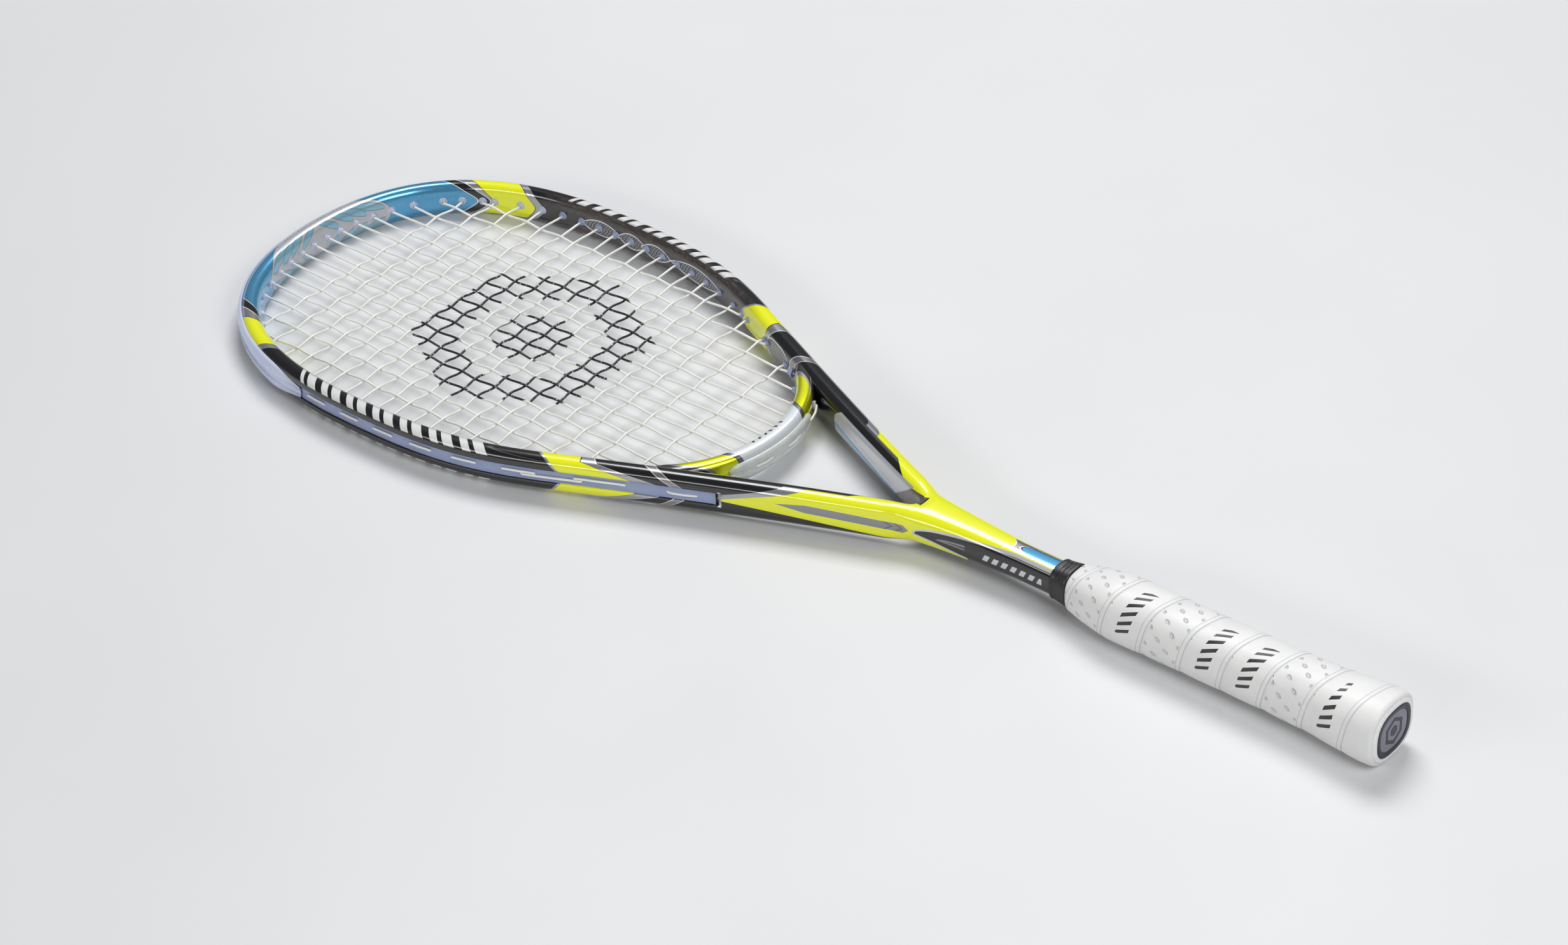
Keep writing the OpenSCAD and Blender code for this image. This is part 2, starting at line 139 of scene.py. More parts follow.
def stations(table, at):
    """Widths and heights at these distances, smoothed between the rows of a table of [x, w, h]."""
    rows = np.array(table, float)
    soft = np.arange(rows[0, 0], rows[-1, 0] + STATION_STEP, STATION_STEP)
    kernel = np.hanning(2 * STATION_REACH + 1)
    kernel /= kernel.sum()
    out = []
    for k in (1, 2):
        values = np.interp(soft, rows[:, 0], rows[:, k])
        padded = np.pad(values, STATION_REACH, "edge")
        out.append(np.interp(at, soft, np.convolve(padded, kernel, "valid")))
    return out


tip_curve = bezier([(TIP_X, 0), (TIP_X, TIP_ROUND * HALF_W),
                    (HEAD_MIDDLE_X + TIP_ROUND * (TIP_X - HEAD_MIDDLE_X), HALF_W),
                    (HEAD_MIDDLE_X, HALF_W)], 160)
side_curve = bezier([(HEAD_MIDDLE_X, HALF_W), (HEAD_MIDDLE_X - SIDE_REACH, HALF_W),
                     CORNER + CORNER_LEAN, CORNER], 90)
arm_curve = bezier([CORNER, CORNER - CORNER_LEAN, ARM_PULL, ARM_END], 90)
fork_curve = bezier([ARM_END, (274, 11.3), (268, 9.2), (FORK_END_X, 7.2)], 20)
half_path = resampled(joined(tip_curve, side_curve, arm_curve, fork_curve), PATH_STEP)
half_along = lengths(half_path)
half_out = -square_to(half_path)
half_slope = abs(half_out[:, 0] / half_out[:, 1])
tip_count = int(np.argmin(abs(half_path[:, 0] - HEAD_MIDDLE_X)))


def along_at(x):
    """Distance along the frame from the tip to where its centreline passes x."""
    return float(np.interp(-x, -half_path[:, 0], half_along))


def width_at(x):
    return np.interp(x, *BEAM_WIDTHS)


def height_at(x):
    return np.interp(x, *BEAM_HEIGHTS)


def across(half):
    """A row of points from one side of the racket to the other, from its half at positive y."""
    return np.concatenate([half[::-1] * (1, -1), half[1:]])


bridge_half = resampled(bezier([(BRIDGE_X, 0), (BRIDGE_X, 26.5), (371.5, 46.5), BRIDGE_END], 80), 1.0)
bridge_out = square_to(bridge_half)


# ---------- seats, where a string crosses the frame ----------
class Seat:
    """A hole for a string: its mouth by the strings, its outward direction, and the distance from
    the mouth to the frame's outer face. Lean makes the steps near that face longer, for a hole that
    runs aslant. Kind says whether it is in the hoop, in the bridge, or through both."""

    def __init__(self, mouth, out, depth, kind, lean=1.0):
        self.mouth, self.out = np.array(mouth, float), np.array(out, float)
        self.depth, self.lean, self.kind = depth, lean, kind

    def at(self, along, z=0.0):
        return np.array([*(self.mouth + self.out * along), z])


MOUTH_GAP = 0.4
PAST_TIP = 4
PAST_SIDE = 40
SINGLE_Y = 40
THROUGH_LEAN = 1.4
HOOP_REACH = TUBE_W / 2 + BARREL_OUT + MOUTH_GAP
BRIDGE_REACH = BRIDGE_W / 2 + BARREL_OUT + MOUTH_GAP
hoop_mouths = half_path - half_out * HOOP_REACH
bridge_mouths = bridge_half - bridge_out * BRIDGE_REACH


def seat_between(points, outs, key, value, depth_of, side, kind):
    """The seat where a row of mouths passes this value of x (key 0) or y (key 1)."""
    order = np.argsort(points[:, key])
    mouth = [np.interp(value, points[order, key], points[order, k]) for k in (0, 1)]
    out = [np.interp(value, points[order, key], outs[order, k]) for k in (0, 1)]
    out = np.array(out) / np.linalg.norm(out)
    return Seat((mouth[0], side * mouth[1]), (out[0], side * out[1]), depth_of(mouth[0]), kind)


def hoop_seat(rows, key, value, side):
    return seat_between(hoop_mouths[rows], half_out[rows], key, value,
                        lambda x: HOOP_REACH + width_at(x) / 2, side, "hoop")


def cross_seat(x, side):
    return hoop_seat(slice(PAST_TIP, None), 0, x, side)


def head_seat(y):
    return hoop_seat(slice(0, tip_count), 1, abs(y), np.sign(y))


def foot_seat(y):
    """The handle end of a main: in the bridge, through its end and the hoop, or in the hoop."""
    side = np.sign(y)
    if abs(y) < SINGLE_Y:
        return seat_between(bridge_mouths, bridge_out, 1, abs(y),
                            lambda x: BRIDGE_REACH + BRIDGE_W / 2, side, "bridge")
    if abs(y) in THROUGH_EXITS:
        x = np.interp(abs(y), bridge_mouths[:, 1], bridge_mouths[:, 0])
        run = np.array(THROUGH_EXITS[abs(y)]) - (x, abs(y))
        depth = np.linalg.norm(run)
        return Seat((x, y), (run[0] / depth, side * run[1] / depth), depth, "through", THROUGH_LEAN)
    return hoop_seat(slice(tip_count + PAST_SIDE, None), 1, abs(y), side)


all_main_y = [-y for y in reversed(MAIN_Y)] + MAIN_Y
far_seats, near_seats = ([cross_seat(x, side) for x in CROSS_X] for side in (-1, 1))
head_seats = [head_seat(y) for y in all_main_y]
foot_seats = [foot_seat(y) for y in all_main_y]


# ---------- meshes ----------
def linked(name, data):
    made = bpy.data.objects.new(name, data)
    bpy.context.scene.collection.objects.link(made)
    return made


def new_object(name, verts, faces, sharp_angle):
    """A smooth-shaded object from points in millimetres."""
    mesh = bpy.data.meshes.new(name)
    mesh.from_pydata([tuple(v) for v in np.asarray(verts) * MM], [], faces)
    mesh.validate()
    shade(mesh, sharp_angle)
    return linked(name, mesh)


def shade(mesh, sharp_angle):
    """Faces outward and smooth, with creases where they meet at more than this angle."""
    work = bmesh.new()
    work.from_mesh(mesh)
    bmesh.ops.recalc_face_normals(work, faces=work.faces)
    work.to_mesh(mesh)
    work.free()
    mesh.polygons.foreach_set("use_smooth", [True] * len(mesh.polygons))
    mesh.set_sharp_from_angle(angle=math.radians(sharp_angle))


def skin(rings, closed=False):
    """Vertices and faces of a surface through rings that all have the same number of points. It is
    capped at both ends, or joins up with itself where closed."""
    rings = np.asarray(rings)
    count, around = rings.shape[:2]
    faces = []
    for i in range(count if closed else count - 1):
        a, b = i * around, (i + 1) % count * around
        faces += [(a + j, b + j, b + (j + 1) % around, a + (j + 1) % around) for j in range(around)]
    if not closed:
        faces += [tuple(range(around)), tuple(reversed(range((count - 1) * around, count * around)))]
    return rings.reshape(-1, 3), faces


def merged(name, shells, sharp_angle=40):
    """One object from several (vertices, faces) shells."""
    verts, faces, base = [], [], 0
    for points, polygons in shells:
        verts.append(points)
        faces += [tuple(i + base for i in f) for f in polygons]
        base += len(points)
    return new_object(name, np.concatenate(verts), faces, sharp_angle)


def swept(path, outs, section_at):
    """Rings of section points [out, up] stood up along a path in the plane of the strings."""
    rings = []
    for i, (p, o) in enumerate(zip(path, outs)):
        q = section_at(i)
        rings.append(np.column_stack([p[0] + o[0] * q[:, 0], p[1] + o[1] * q[:, 0], q[:, 1]]))
    return np.array(rings)


def kept(path, outs, keep):
    """The rows of a path and of its outward directions that a condition on them keeps."""
    keep = keep(path[:, 0], path[:, 1])
    return path[keep], outs[keep]


def superellipse(w, h, power, count):
    t = np.arange(count) / count * 2 * math.pi
    c, s = np.cos(t), np.sin(t)
    return np.column_stack([np.sign(c) * abs(c)**(2 / power) * w / 2,
                            np.sign(s) * abs(s)**(2 / power) * h / 2])


def ovals(profile, power, around=96):
    """Rings across the handle from rows of [x, width, height]."""
    return [np.column_stack([np.full(around, x), superellipse(w, h, power, around)])
            for x, w, h in profile]


def arc(cx, cy, rx, ry, start, end, count):
    t = np.radians(np.linspace(start, end, count))
    return np.column_stack([cx + rx * np.cos(t), cy + ry * np.sin(t)])


def both_halves(upper):
    """A section [out, up] from its half above the plane of the strings."""
    return np.concatenate([upper, upper[1:-1][::-1] * (1, -1)])


INNER_ROUND = 5
OUTER_ROUND = 4
LIP = 0.25


def beam_section(w, h, groove):
    """The frame's section as [out, up], from the middle of its inner face over the top to the middle
    of its outer face, and back underneath."""
    a, b = w / 2, h / 2
    inner_face = np.column_stack([np.full(4, -a), np.linspace(0, b - INNER_ROUND, 4)])
    inner_top = arc(-0.1 * a, b - INNER_ROUND, 0.9 * a, INNER_ROUND, 180, 90, 12)
    outer_top = arc(0.1 * a, b - OUTER_ROUND, 0.9 * a, OUTER_ROUND, 90, 0, 12)
    lip = [(a, (b - OUTER_ROUND + GROOVE_H) / 2), (a, GROOVE_H + LIP), (a - 0.1 * groove, GROOVE_H)]
    floor_points = [(a - groove, GROOVE_H - LIP), (a - groove, GROOVE_H / 2), (a - groove, 0)]
    return both_halves(np.concatenate([inner_face, inner_top[1:], outer_top, lip, floor_points]))


def tube(points, radius, sides=10):
    """A round cord along points that never run straight up."""
    points = np.asarray(points, float)
    t = headings(points)
    side = np.cross((0, 0, 1), t)
    side /= np.linalg.norm(side, axis=1)[:, None]
    up = np.cross(t, side)
    angles = np.arange(sides) / sides * 2 * math.pi
    rings = [p + radius * (np.outer(np.cos(angles), s) + np.outer(np.sin(angles), u))
             for p, s, u in zip(points, side, up)]
    return skin(rings)


def smoothed(points, corner, rounds=2):
    """Corners cut off a polyline, near each corner only."""
    points = np.asarray(points, float)
    for _ in range(rounds):
        out = [points[0]]
        for a, b, c in zip(points[:-2], points[1:-1], points[2:]):
            for end in (a, c):
                reach = min(corner, 0.33 * np.linalg.norm(end - b))
                out.append(b + (end - b) / max(np.linalg.norm(end - b), TINY) * reach)
        points = np.array(out + [points[-1]])
        corner *= 0.4
    return points


def lathe(seat, profile, sides=16):
    """A closed ring round a seat's axis from [along, radius] points."""
    axis = np.array([*seat.out, 0.0])
    side = np.array([-seat.out[1], seat.out[0], 0.0])
    rings = []
    for angle in np.arange(sides) / sides * 2 * math.pi:
        arm = math.cos(angle) * side + math.sin(angle) * np.array([0, 0, 1.0])
        rings.append([np.array([*seat.mouth, 0.0]) + axis * a + arm * r for a, r in profile])
    return skin(rings, closed=True)


# ---------- materials ----------
SOFT_EDGE = 0.25


class Field:
    """A value in a material's nodes. Arithmetic on it adds Math nodes; & is the product of two
    masks, | the larger, and ~ is 1 less the mask."""

    def __init__(self, tree, socket):
        self.tree, self.socket = tree, socket

    def math(self, operation, *others, clamp=False):
        node = self.tree.nodes.new("ShaderNodeMath")
        node.operation, node.use_clamp = operation, clamp
        for k, value in enumerate((self, *others)):
            if isinstance(value, Field):
                self.tree.links.new(value.socket, node.inputs[k])
            else:
                node.inputs[k].default_value = value
        return Field(self.tree, node.outputs[0])

    def __rsub__(self, other):
        return self.math("MULTIPLY_ADD", -1.0, other)

    def __abs__(self):
        return self.math("ABSOLUTE")

    def __invert__(self):
        return self.math("MULTIPLY_ADD", -1.0, 1.0, clamp=True)

    def over(self, edge, soft=SOFT_EDGE):
        """1 where this is more than the edge, 0 where it is less."""
        return (self - edge).math("MULTIPLY_ADD", 1 / soft, 0.5, clamp=True)

    def under(self, edge, soft=SOFT_EDGE):
        """1 where this is less than the edge, 0 where it is more."""
        return (self - edge).math("MULTIPLY_ADD", -1 / soft, 0.5, clamp=True)

    def between(self, low, high, soft=SOFT_EDGE):
        return self.over(low, soft) & self.under(high, soft)

    def near(self, value, half, soft=SOFT_EDGE):
        """1 within half of a value."""
        return abs(self - value).under(half, soft)

    def root(self):
        """Square root, with 0 for what is below 0."""
        return self.at_least(0.0).math("SQRT")


for method, operation in (("__add__", "ADD"), ("__radd__", "ADD"), ("__sub__", "SUBTRACT"),
                          ("__mul__", "MULTIPLY"), ("__and__", "MULTIPLY"), ("__or__", "MAXIMUM"),
                          ("at_least", "MAXIMUM"), ("at_most", "MINIMUM"), ("power", "POWER"),
                          ("repeat", "FLOORED_MODULO"), ("wave", "SINE")):
    setattr(Field, method, partialmethod(Field.math, operation))


class Surface:
    """A procedural material: a base, and layers of colour, roughness and metal laid over it."""

    def __init__(self, name, colour, roughness, metallic=0.0, **sockets):
        self.material = bpy.data.materials.new(name)
        self.material.use_nodes = True
        self.tree = self.material.node_tree
        self.shader = self.tree.nodes["Principled BSDF"]
        self.shader.inputs["Base Color"].default_value = (*colour, 1)
        self.shader.inputs["Roughness"].default_value = roughness
        self.shader.inputs["Metallic"].default_value = metallic
        for key, value in sockets.items():
            self.shader.inputs[key.replace("_", " ")].default_value = value
        self.height = None

    def node(self, kind, *sockets):
        """A new node with these sockets linked to its first inputs."""
        made = self.tree.nodes.new("ShaderNode" + kind)
        for socket, into in zip(sockets, made.inputs):
            self.tree.links.new(socket, into)
        return made

    def position(self):
        """Object coordinates in millimetres."""
        split = self.node("SeparateXYZ", self.node("TexCoord").outputs["Object"])
        return [Field(self.tree, s) * (1 / MM) for s in split.outputs]

    def attribute(self, name):
        node = self.node("Attribute")
        node.attribute_name = name
        return Field(self.tree, node.outputs["Fac"])

    def noise(self, size, detail=2.0, stretch=(1, 1, 1)):
        """Noise from 0 to 1 whose features are about size millimetres, longer along the stretch."""
        scale = self.node("Mapping", self.node("TexCoord").outputs["Object"])
        scale.inputs["Scale"].default_value = [1 / (size * MM * s) for s in stretch]
        node = self.node("TexNoise", scale.outputs["Vector"])
        node.inputs["Scale"].default_value = 1.0
        node.inputs["Detail"].default_value = detail
        return Field(self.tree, node.outputs["Fac"])

    def mixed(self, socket, value, mask):
        """Lays a value over what the socket has, where the mask is 1."""
        is_colour = socket.type == "RGBA"
        node = self.node("Mix")
        node.data_type = "RGBA" if is_colour else "FLOAT"
        slots = [s for s in node.inputs if s.enabled]
        if socket.is_linked:
            self.tree.links.new(socket.links[0].from_socket, slots[1])
        else:
            slots[1].default_value = socket.default_value
        slots[2].default_value = (*value, 1) if is_colour else value
        self.tree.links.new(mask.socket, slots[0])
        self.tree.links.new([s for s in node.outputs if s.enabled][0], socket)

    def layer(self, mask, colour=None, roughness=None, metallic=None):
        for key, value in (("Base Color", colour), ("Roughness", roughness), ("Metallic", metallic)):
            if value is not None:
                self.mixed(self.shader.inputs[key], value, mask)

    def bump(self, height, distance):
        """Adds a height from 0 to 1, worth this many millimetres."""
        scaled = height * distance
        self.height = scaled if self.height is None else self.height + scaled

    def done(self):
        if self.height is not None:
            node = self.node("Bump")
            node.inputs["Distance"].default_value = MM
            self.tree.links.new(self.height.socket, node.inputs["Height"])
            self.tree.links.new(node.outputs["Normal"], self.shader.inputs["Normal"])
        return self.material


# colours
SKY = (0.075, 0.34, 0.60)
PALE_SKY = (0.26, 0.50, 0.64)
PEARL = (0.62, 0.63, 0.66)
SILVER = (0.42, 0.43, 0.46)

# paints: colour, roughness, how metallic
BLACK = ((0.006, 0.006, 0.007), 0.2)
BLACK_INK = ((0.03, 0.03, 0.035), 0.35)
DARK_INK = ((0.10, 0.10, 0.11), 0.35)
DARK_EDGE = ((0.12, 0.12, 0.10),)
BLACK_EDGE = ((0.10, 0.10, 0.09),)
WHITE = ((0.82, 0.83, 0.84), 0.3)
BAR_WHITE = ((0.74, 0.75, 0.74), 0.33)
LIME = ((0.86, 0.90, 0.010), 0.22)
SILVER_BAND = (SILVER, 0.28, 0.7)
BRIGHT_SILVER = (SILVER, 0.28, 0.75)
TIP_SILVER = ((0.50, 0.51, 0.54), 0.30, 0.3)
LEAF = (PALE_SKY, 0.26, 0.4)
LEAF_EDGE = ((0.15, 0.19, 0.22), 0.3, 0.2)
SMOKE = ((0.065, 0.054, 0.050), 0.42, 0.45)
WINDOW = ((0.035, 0.035, 0.04), 0.35, 0.4)
CLOTH = ((0.30, 0.31, 0.33), 0.3, 0.7)
CORNER_WINDOW = ((0.03, 0.03, 0.035), 0.35, 0.4)
CORNER_CLOTH = ((0.26, 0.27, 0.29), 0.3, 0.7)
GREY_BAND = ((0.30, 0.29, 0.30), 0.3, 0.75)
BROWN_EDGE = ((0.16, 0.15, 0.14), 0.3, 0.4)
BROWN_GREY = ((0.16, 0.14, 0.13), 0.32, 0.6)
SWOOSH = ((0.27, 0.28, 0.31), 0.3, 0.7)
SIDE_GREY = ((0.26, 0.25, 0.26), 0.3, 0.7)
TOP_GREY = ((0.24, 0.23, 0.24), 0.3, 0.7)
BRIDGE_GREY = ((0.20, 0.21, 0.22), 0.28, 0.75)
BRIDGE_WHITE = ((0.68, 0.71, 0.74), 0.32, 0.1)
CLOTH_CELL = 0.33
MID_BEAM = 0.5
BEAM_EDGE = 0.1


def rounded_off(value, radius):
    """A distance that starts gently, as the end of a rounded point does."""
    return (value * value + radius * radius).root() - radius


def weave(x, y):
    """Carbon cloth: small over-and-under cells, from 0 to 1."""
    u, v = ((value * (1 / CLOTH_CELL)).wave() for value in (x, y))
    return (u * v).math("MULTIPLY_ADD", 0.5, 0.5, clamp=True)


def cloth_window(s, cloth, ring, t, belly, looks, line, reach):
    """A window on the carbon cloth with a white edge: t runs from -1 to 1 along it, and belly is
    how far it goes round the section."""
    inside = ring.under(belly) & abs(t).under(1.0, 0.05)
    s.layer(inside, *looks[0])
    s.layer(inside & cloth.over(0.55, 0.3), *looks[1])
    s.layer(abs(ring - belly).under(line) & abs(t).under(reach, 0.05), *WHITE)


def paint_bands(s, along, *bands):
    """Bands given as [start, end, paint] along the frame, laid one after another."""
    for start, end, paint in bands:
        s.layer(along.between(start, end), *paint)


def paint_head(s, along, ring):
    """Bands of colour round the head, by the distance from the tip and the distance round the
    section from the middle of its inner face."""
    soft_ring = rounded_off(ring, 2.0)
    # tip, silver with sky-blue leaves round the string holes
    tip_end = 48.0 - ring * ring * 0.105
    tip = along.under(tip_end)
    s.layer(tip, *TIP_SILVER)
    shoulder = 10.4
    for wide_end, point_end, low in ((44, 19, 3.4), (32.5, 16, 2.6), (24, 10, 3.0), (14, 1, 2.4)):
        t = (along * -1.0 + wide_end) * (1 / (wide_end - point_end))
        centre = t.at_least(0.0).power(0.8) * (shoulder - low) + low
        half = t.root() * (1.0 - t).at_least(0.0) * 5.6
        inside = tip & t.between(0.0, 1.0, 0.02)
        s.layer(inside & abs(ring - centre).under(half + 0.35), *LEAF_EDGE)
        s.layer(inside & abs(ring - centre).under(half - 0.05), *LEAF)
    dots = along.repeat(2.2).under(0.9) & ring.near(13.6, 0.3, 0.2) & along.under(40.0)
    s.layer(dots & along.repeat(11.0).over(3.0), (0.05, 0.05, 0.07))
    s.layer(along.near(tip_end, 0.3), (0.15, 0.20, 0.24))
    # sky-blue shoulders that end in a rounded point
    blue_end = 98.0 - soft_ring * 1.7
    blue = along.between(tip_end + 0.3, blue_end)
    flake = s.noise(0.4, 3.0, (1.5, 1.5, 1))
    s.layer(blue, SKY, 0.24, 0.55)
    s.layer(blue & flake.over(0.58, 0.2), (0.15, 0.43, 0.66))
    black_end = 105.5 - soft_ring * 1.68
    for line in (blue_end, black_end):
        s.layer(along.near(line, 0.38), *WHITE)
    # lime between two silver bands
    lime_start = 107.3 - soft_ring * 1.15
    lime_end = 132.5 - soft_ring * 0.98
    silver_end = 138.2 - soft_ring * 1.08
    paint_bands(s, along, (black_end + 0.4, lime_start, SILVER_BAND), (lime_start, lime_end, LIME),
                (lime_end, silver_end, SILVER_BAND))
    s.layer(along.near(lime_end, 0.3) | along.near(lime_start, 0.3), *DARK_EDGE)
    # satin sides, between the head's two lime bands
    smoke = ring.between(3.2, 10.5, 1.5) & along.between(150.0, 300.0, 30.0)
    grain = s.noise(0.7, 3.0, (6, 6, 1))
    s.layer(smoke, *SMOKE)
    s.layer(smoke & grain.over(0.58, 0.2), (0.13, 0.11, 0.10))
    # leaf-shaped windows on the carbon cloth, between the string holes
    cloth = weave(along, ring)
    for start, end in ((163, 191), (189, 209), (206, 228), (228, 272)):
        t = (along - (start + end) / 2) * (2 / (end - start))
        cloth_window(s, cloth, ring, t, (1.0 - t * t) * 4.3, (WINDOW, CLOTH), 0.30, 1.03)
    # slanted white bars along the outer shoulder
    slant = along - ring * 0.75
    block = slant.repeat(18.0)
    bars = ((block.under(4.6) | block.between(7.4, 13.4)) & ring.between(9.4, 17.4)
            & slant.between(146.0, 266.0))
    s.layer(bars, *BAR_WHITE)


def paint_corner(s, along, ring):
    """The lower lime band, the window and the silver bands where the head runs into the throat."""
    lime_start = 293.5 + ring * 1.03
    lime_end = 323.5 + ring * 0.12 + (ring - 14.0).at_least(0.0) * 4.0
    silver_end = lime_end + 1.4 + ring * 0.5
    paint_bands(s, along, (lime_start - 1.5, lime_start, SILVER_BAND), (lime_start, lime_end, LIME),
                (lime_end, silver_end, SILVER_BAND))
    s.layer(along.near(lime_end + 0.2, 0.35), *BLACK_EDGE)
    s.layer(along.near(silver_end, 0.32), *WHITE)
    t = (along - 338.0) * (1 / 13.5)
    cloth_window(s, weave(along, ring), ring, t, (1.0 - t * t * t * t) * 6.0,
                 (CORNER_WINDOW, CORNER_CLOTH), 0.32, 1.02)
    band_start = 352.0 + ring * ring * 0.048
    band_end = band_start + 5.2
    s.layer(along.between(band_start, band_end), *GREY_BAND)
    s.layer(along.near(band_start, 0.3) | along.near(band_end, 0.22), *WHITE)


def paint_arms(s, x, z, ring, outer):
    """Lime outer faces that widen towards the fork, with a grey swoosh, and pale inner panels."""
    outside = outer.over(MID_BEAM, BEAM_EDGE)
    inside = outer.under(MID_BEAM, BEAM_EDGE)
    throat_end = 353.0
    back = throat_end - x
    in_throat = x.between(200.0, throat_end)
    top_edge = back * 0.255 - 0.2
    low_edge = -0.2 - back * 0.09
    over_top = z.over(0.0) & ring.over(6.6) & x.under(301.0 - (15.0 - ring) * 2.2)
    side = outside & z.between(low_edge, top_edge)
    silver = outside & z.between(top_edge, top_edge + 2.6) & x.between(292.0, 351.0, 3.0)
    s.layer(in_throat & silver, *BRIGHT_SILVER)
    s.layer(in_throat & side & z.near(low_edge, 0.9), *BROWN_EDGE)
    s.layer(in_throat & (side | over_top), *LIME)
    # the swoosh, with two dark chevrons at its point
    swoosh_back = 325.0 - x
    from_swoosh = abs(z - (2.7 - swoosh_back * 0.051))
    swoosh_h = (swoosh_back * 0.16).at_least(0.0).at_most(2.25)
    swoosh = outside & from_swoosh.under(swoosh_h) & (x - from_swoosh * 1.3).over(262.8)
    s.layer(swoosh, *SWOOSH)
    for tip in (271.0, 266.0):
        chevron = abs(x + from_swoosh * -1.6 - tip).under(0.35)
        s.layer(swoosh & chevron, (0.06, 0.06, 0.06))
    # inner panels with two thin lengthwise stripes and a row of ticks
    rounding = rounded_off(abs(z + 1.0), 3.0)
    panel_end = 349.0 - rounding * rounding * 0.16
    panel_start = 284.5 - z * 1.2
    panel = inside & ring.under(7.6) & x.between(panel_start, panel_end)
    s.layer(panel, PEARL, 0.26, 0.45)
    stripe = z + 1.8 + (346.0 - x) * 0.075
    for place_z, half in ((0.0, 0.75), (-1.75, 0.3)):
        s.layer(panel & stripe.near(place_z, half, 0.2), SKY, 0.26, 0.3)
    ticks = x.repeat(1.5).under(0.6, 0.2) & x.repeat(17.0).over(4.0) & stripe.near(3.6, 0.35, 0.2)
    s.layer(panel & ticks, *DARK_INK)
    s.layer(inside & ring.under(6.6) & x.between(263.5, panel_start), *BROWN_GREY)
    s.layer(outside & x.near(350.6, 0.8) & abs(z).under(4.4), PEARL, 0.2, 0.9)


def nose_shape(x, start, length):
    """1 up to start, then down to 0 over this length as the end of an ellipse."""
    return (1.0 - ((x - start) * (1 / length)).at_least(0.0).power(2.0)).root()


def paint_shaft(s, x, y, z):
    """The shaft: lime top with a rounded end, sky-blue panel, and pointed black sides."""
    y = abs(y)
    shaft = x.under(262.5)
    sides = shaft & y.over(2.0)
    panel_top = nose_shape(x, 200.0, 60.0) * 6.9 - 0.8
    panel_low = -0.8 - (260.0 - x) * 0.14
    s.layer(shaft & z.over(-7.0), *LIME)
    s.layer(sides & z.between(panel_low - 0.9, panel_top + 1.1) & x.under(261.0), PEARL, 0.25, 0.3)
    s.layer(sides & z.between(panel_low, panel_top) & x.under(259.5), *BLACK)
    s.layer(shaft & z.under(panel_low) & x.under(231.0), *BLACK)
    inset = nose_shape(x, 205.0, 43.0)
    mark = sides & z.between(-0.6, inset * 3.6 - 0.6) & x.between(232.0, 250.0)
    s.layer(mark & ~(z.between(0.2, inset * 2.6 - 0.9) & x.under(245.0)), *SIDE_GREY)
    # top: the lime ends in a round, then grey, then the blue panel with its black and white edges
    top = shaft & z.over(5.2)
    nose = 209.0 + y * y * 0.17
    blue_nose = 204.6 - y * y * 0.75
    s.layer(top & x.under(nose) & y.under(4.0), *TOP_GREY)
    s.layer(top & x.near(nose, 0.35) & y.under(5.0), *WHITE)
    for edge, half, paint in ((1.6, 3.3, WHITE), (0.9, 2.95, BLACK), (0.0, 2.45, (SKY, 0.24, 0.35))):
        s.layer(top & x.under(blue_nose + edge) & y.under(half), *paint)
    # short slanted dashes on the side panel
    dash = (x + z * 0.5).repeat(5.2)
    dashes = sides & dash.under(2.9) & abs(z + 0.2).under(1.7) & x.between(188.0, 222.0)
    s.layer(dashes, PEARL, 0.25, 0.6)


def frame_paint():
    s = Surface("carbon_paint", BLACK[0], 0.22, Coat_Weight=0.8, Coat_Roughness=0.06)
    x, y, z = s.position()
    along, ring, outer = (s.attribute(name) for name in ("along", "ring", "outer"))
    paint_head(s, along, ring)
    paint_corner(s, along, ring)
    paint_arms(s, x, z, ring, outer)
    paint_shaft(s, x, y, z)
    s.bump(s.noise(6.0), 0.02)
    s.bump(s.noise(0.5), 0.004)
    return s.done()


def bridge_paint():
    """Bands across the bridge, from a pale middle to dark ends, with slanted bars on top."""
    s = Surface("bridge_paint", (0.03, 0.028, 0.03), 0.24, Coat_Weight=0.8, Coat_Roughness=0.06)
    x, y, z = s.position()
    y = abs(y)
    outer = s.attribute("outer")
    grain = s.noise(0.8, 3.0)
    centre_end = 24.0 - outer * 2.2
    grey_end = centre_end + 2.6
    lime_end = 47.0 - abs(outer + 0.5).power(2.0) * 5.0
    s.layer(y.under(lime_end + 2.4), *BRIGHT_SILVER)
    s.layer(y.under(lime_end), LIME[0], 0.26)
    s.layer(y.under(grey_end), *BRIDGE_GREY)
    s.layer(y.under(centre_end), *BRIDGE_WHITE)
    s.layer(y.under(centre_end) & grain.over(0.56, 0.1), (0.74, 0.77, 0.80))
    s.layer(y.near(grey_end, 0.3), *BLACK_EDGE)
    slant = (y + x * 0.4).repeat(4.4)
    bars = slant.under(1.5) & outer.between(-0.72, -0.2, 0.06) & y.under(13.0) & z.over(0.0)
    s.layer(bars, *BLACK_INK)
    s.bump(s.noise(6.0), 0.012)
    return s.done()


STENCIL_X = 519.0
STENCIL_RING = (35.0, 56.0)
STENCIL_CORE = 20.0
COS_30 = 0.866
HANDLE_R = 15.0
OVAL_ROW = 6.0
OVAL_STEP = 9.0
BAR_STEP = 4.6
HALF_TURN = 47.1
GROUP_START = 95.7
GROUP_LENGTH = 26.0


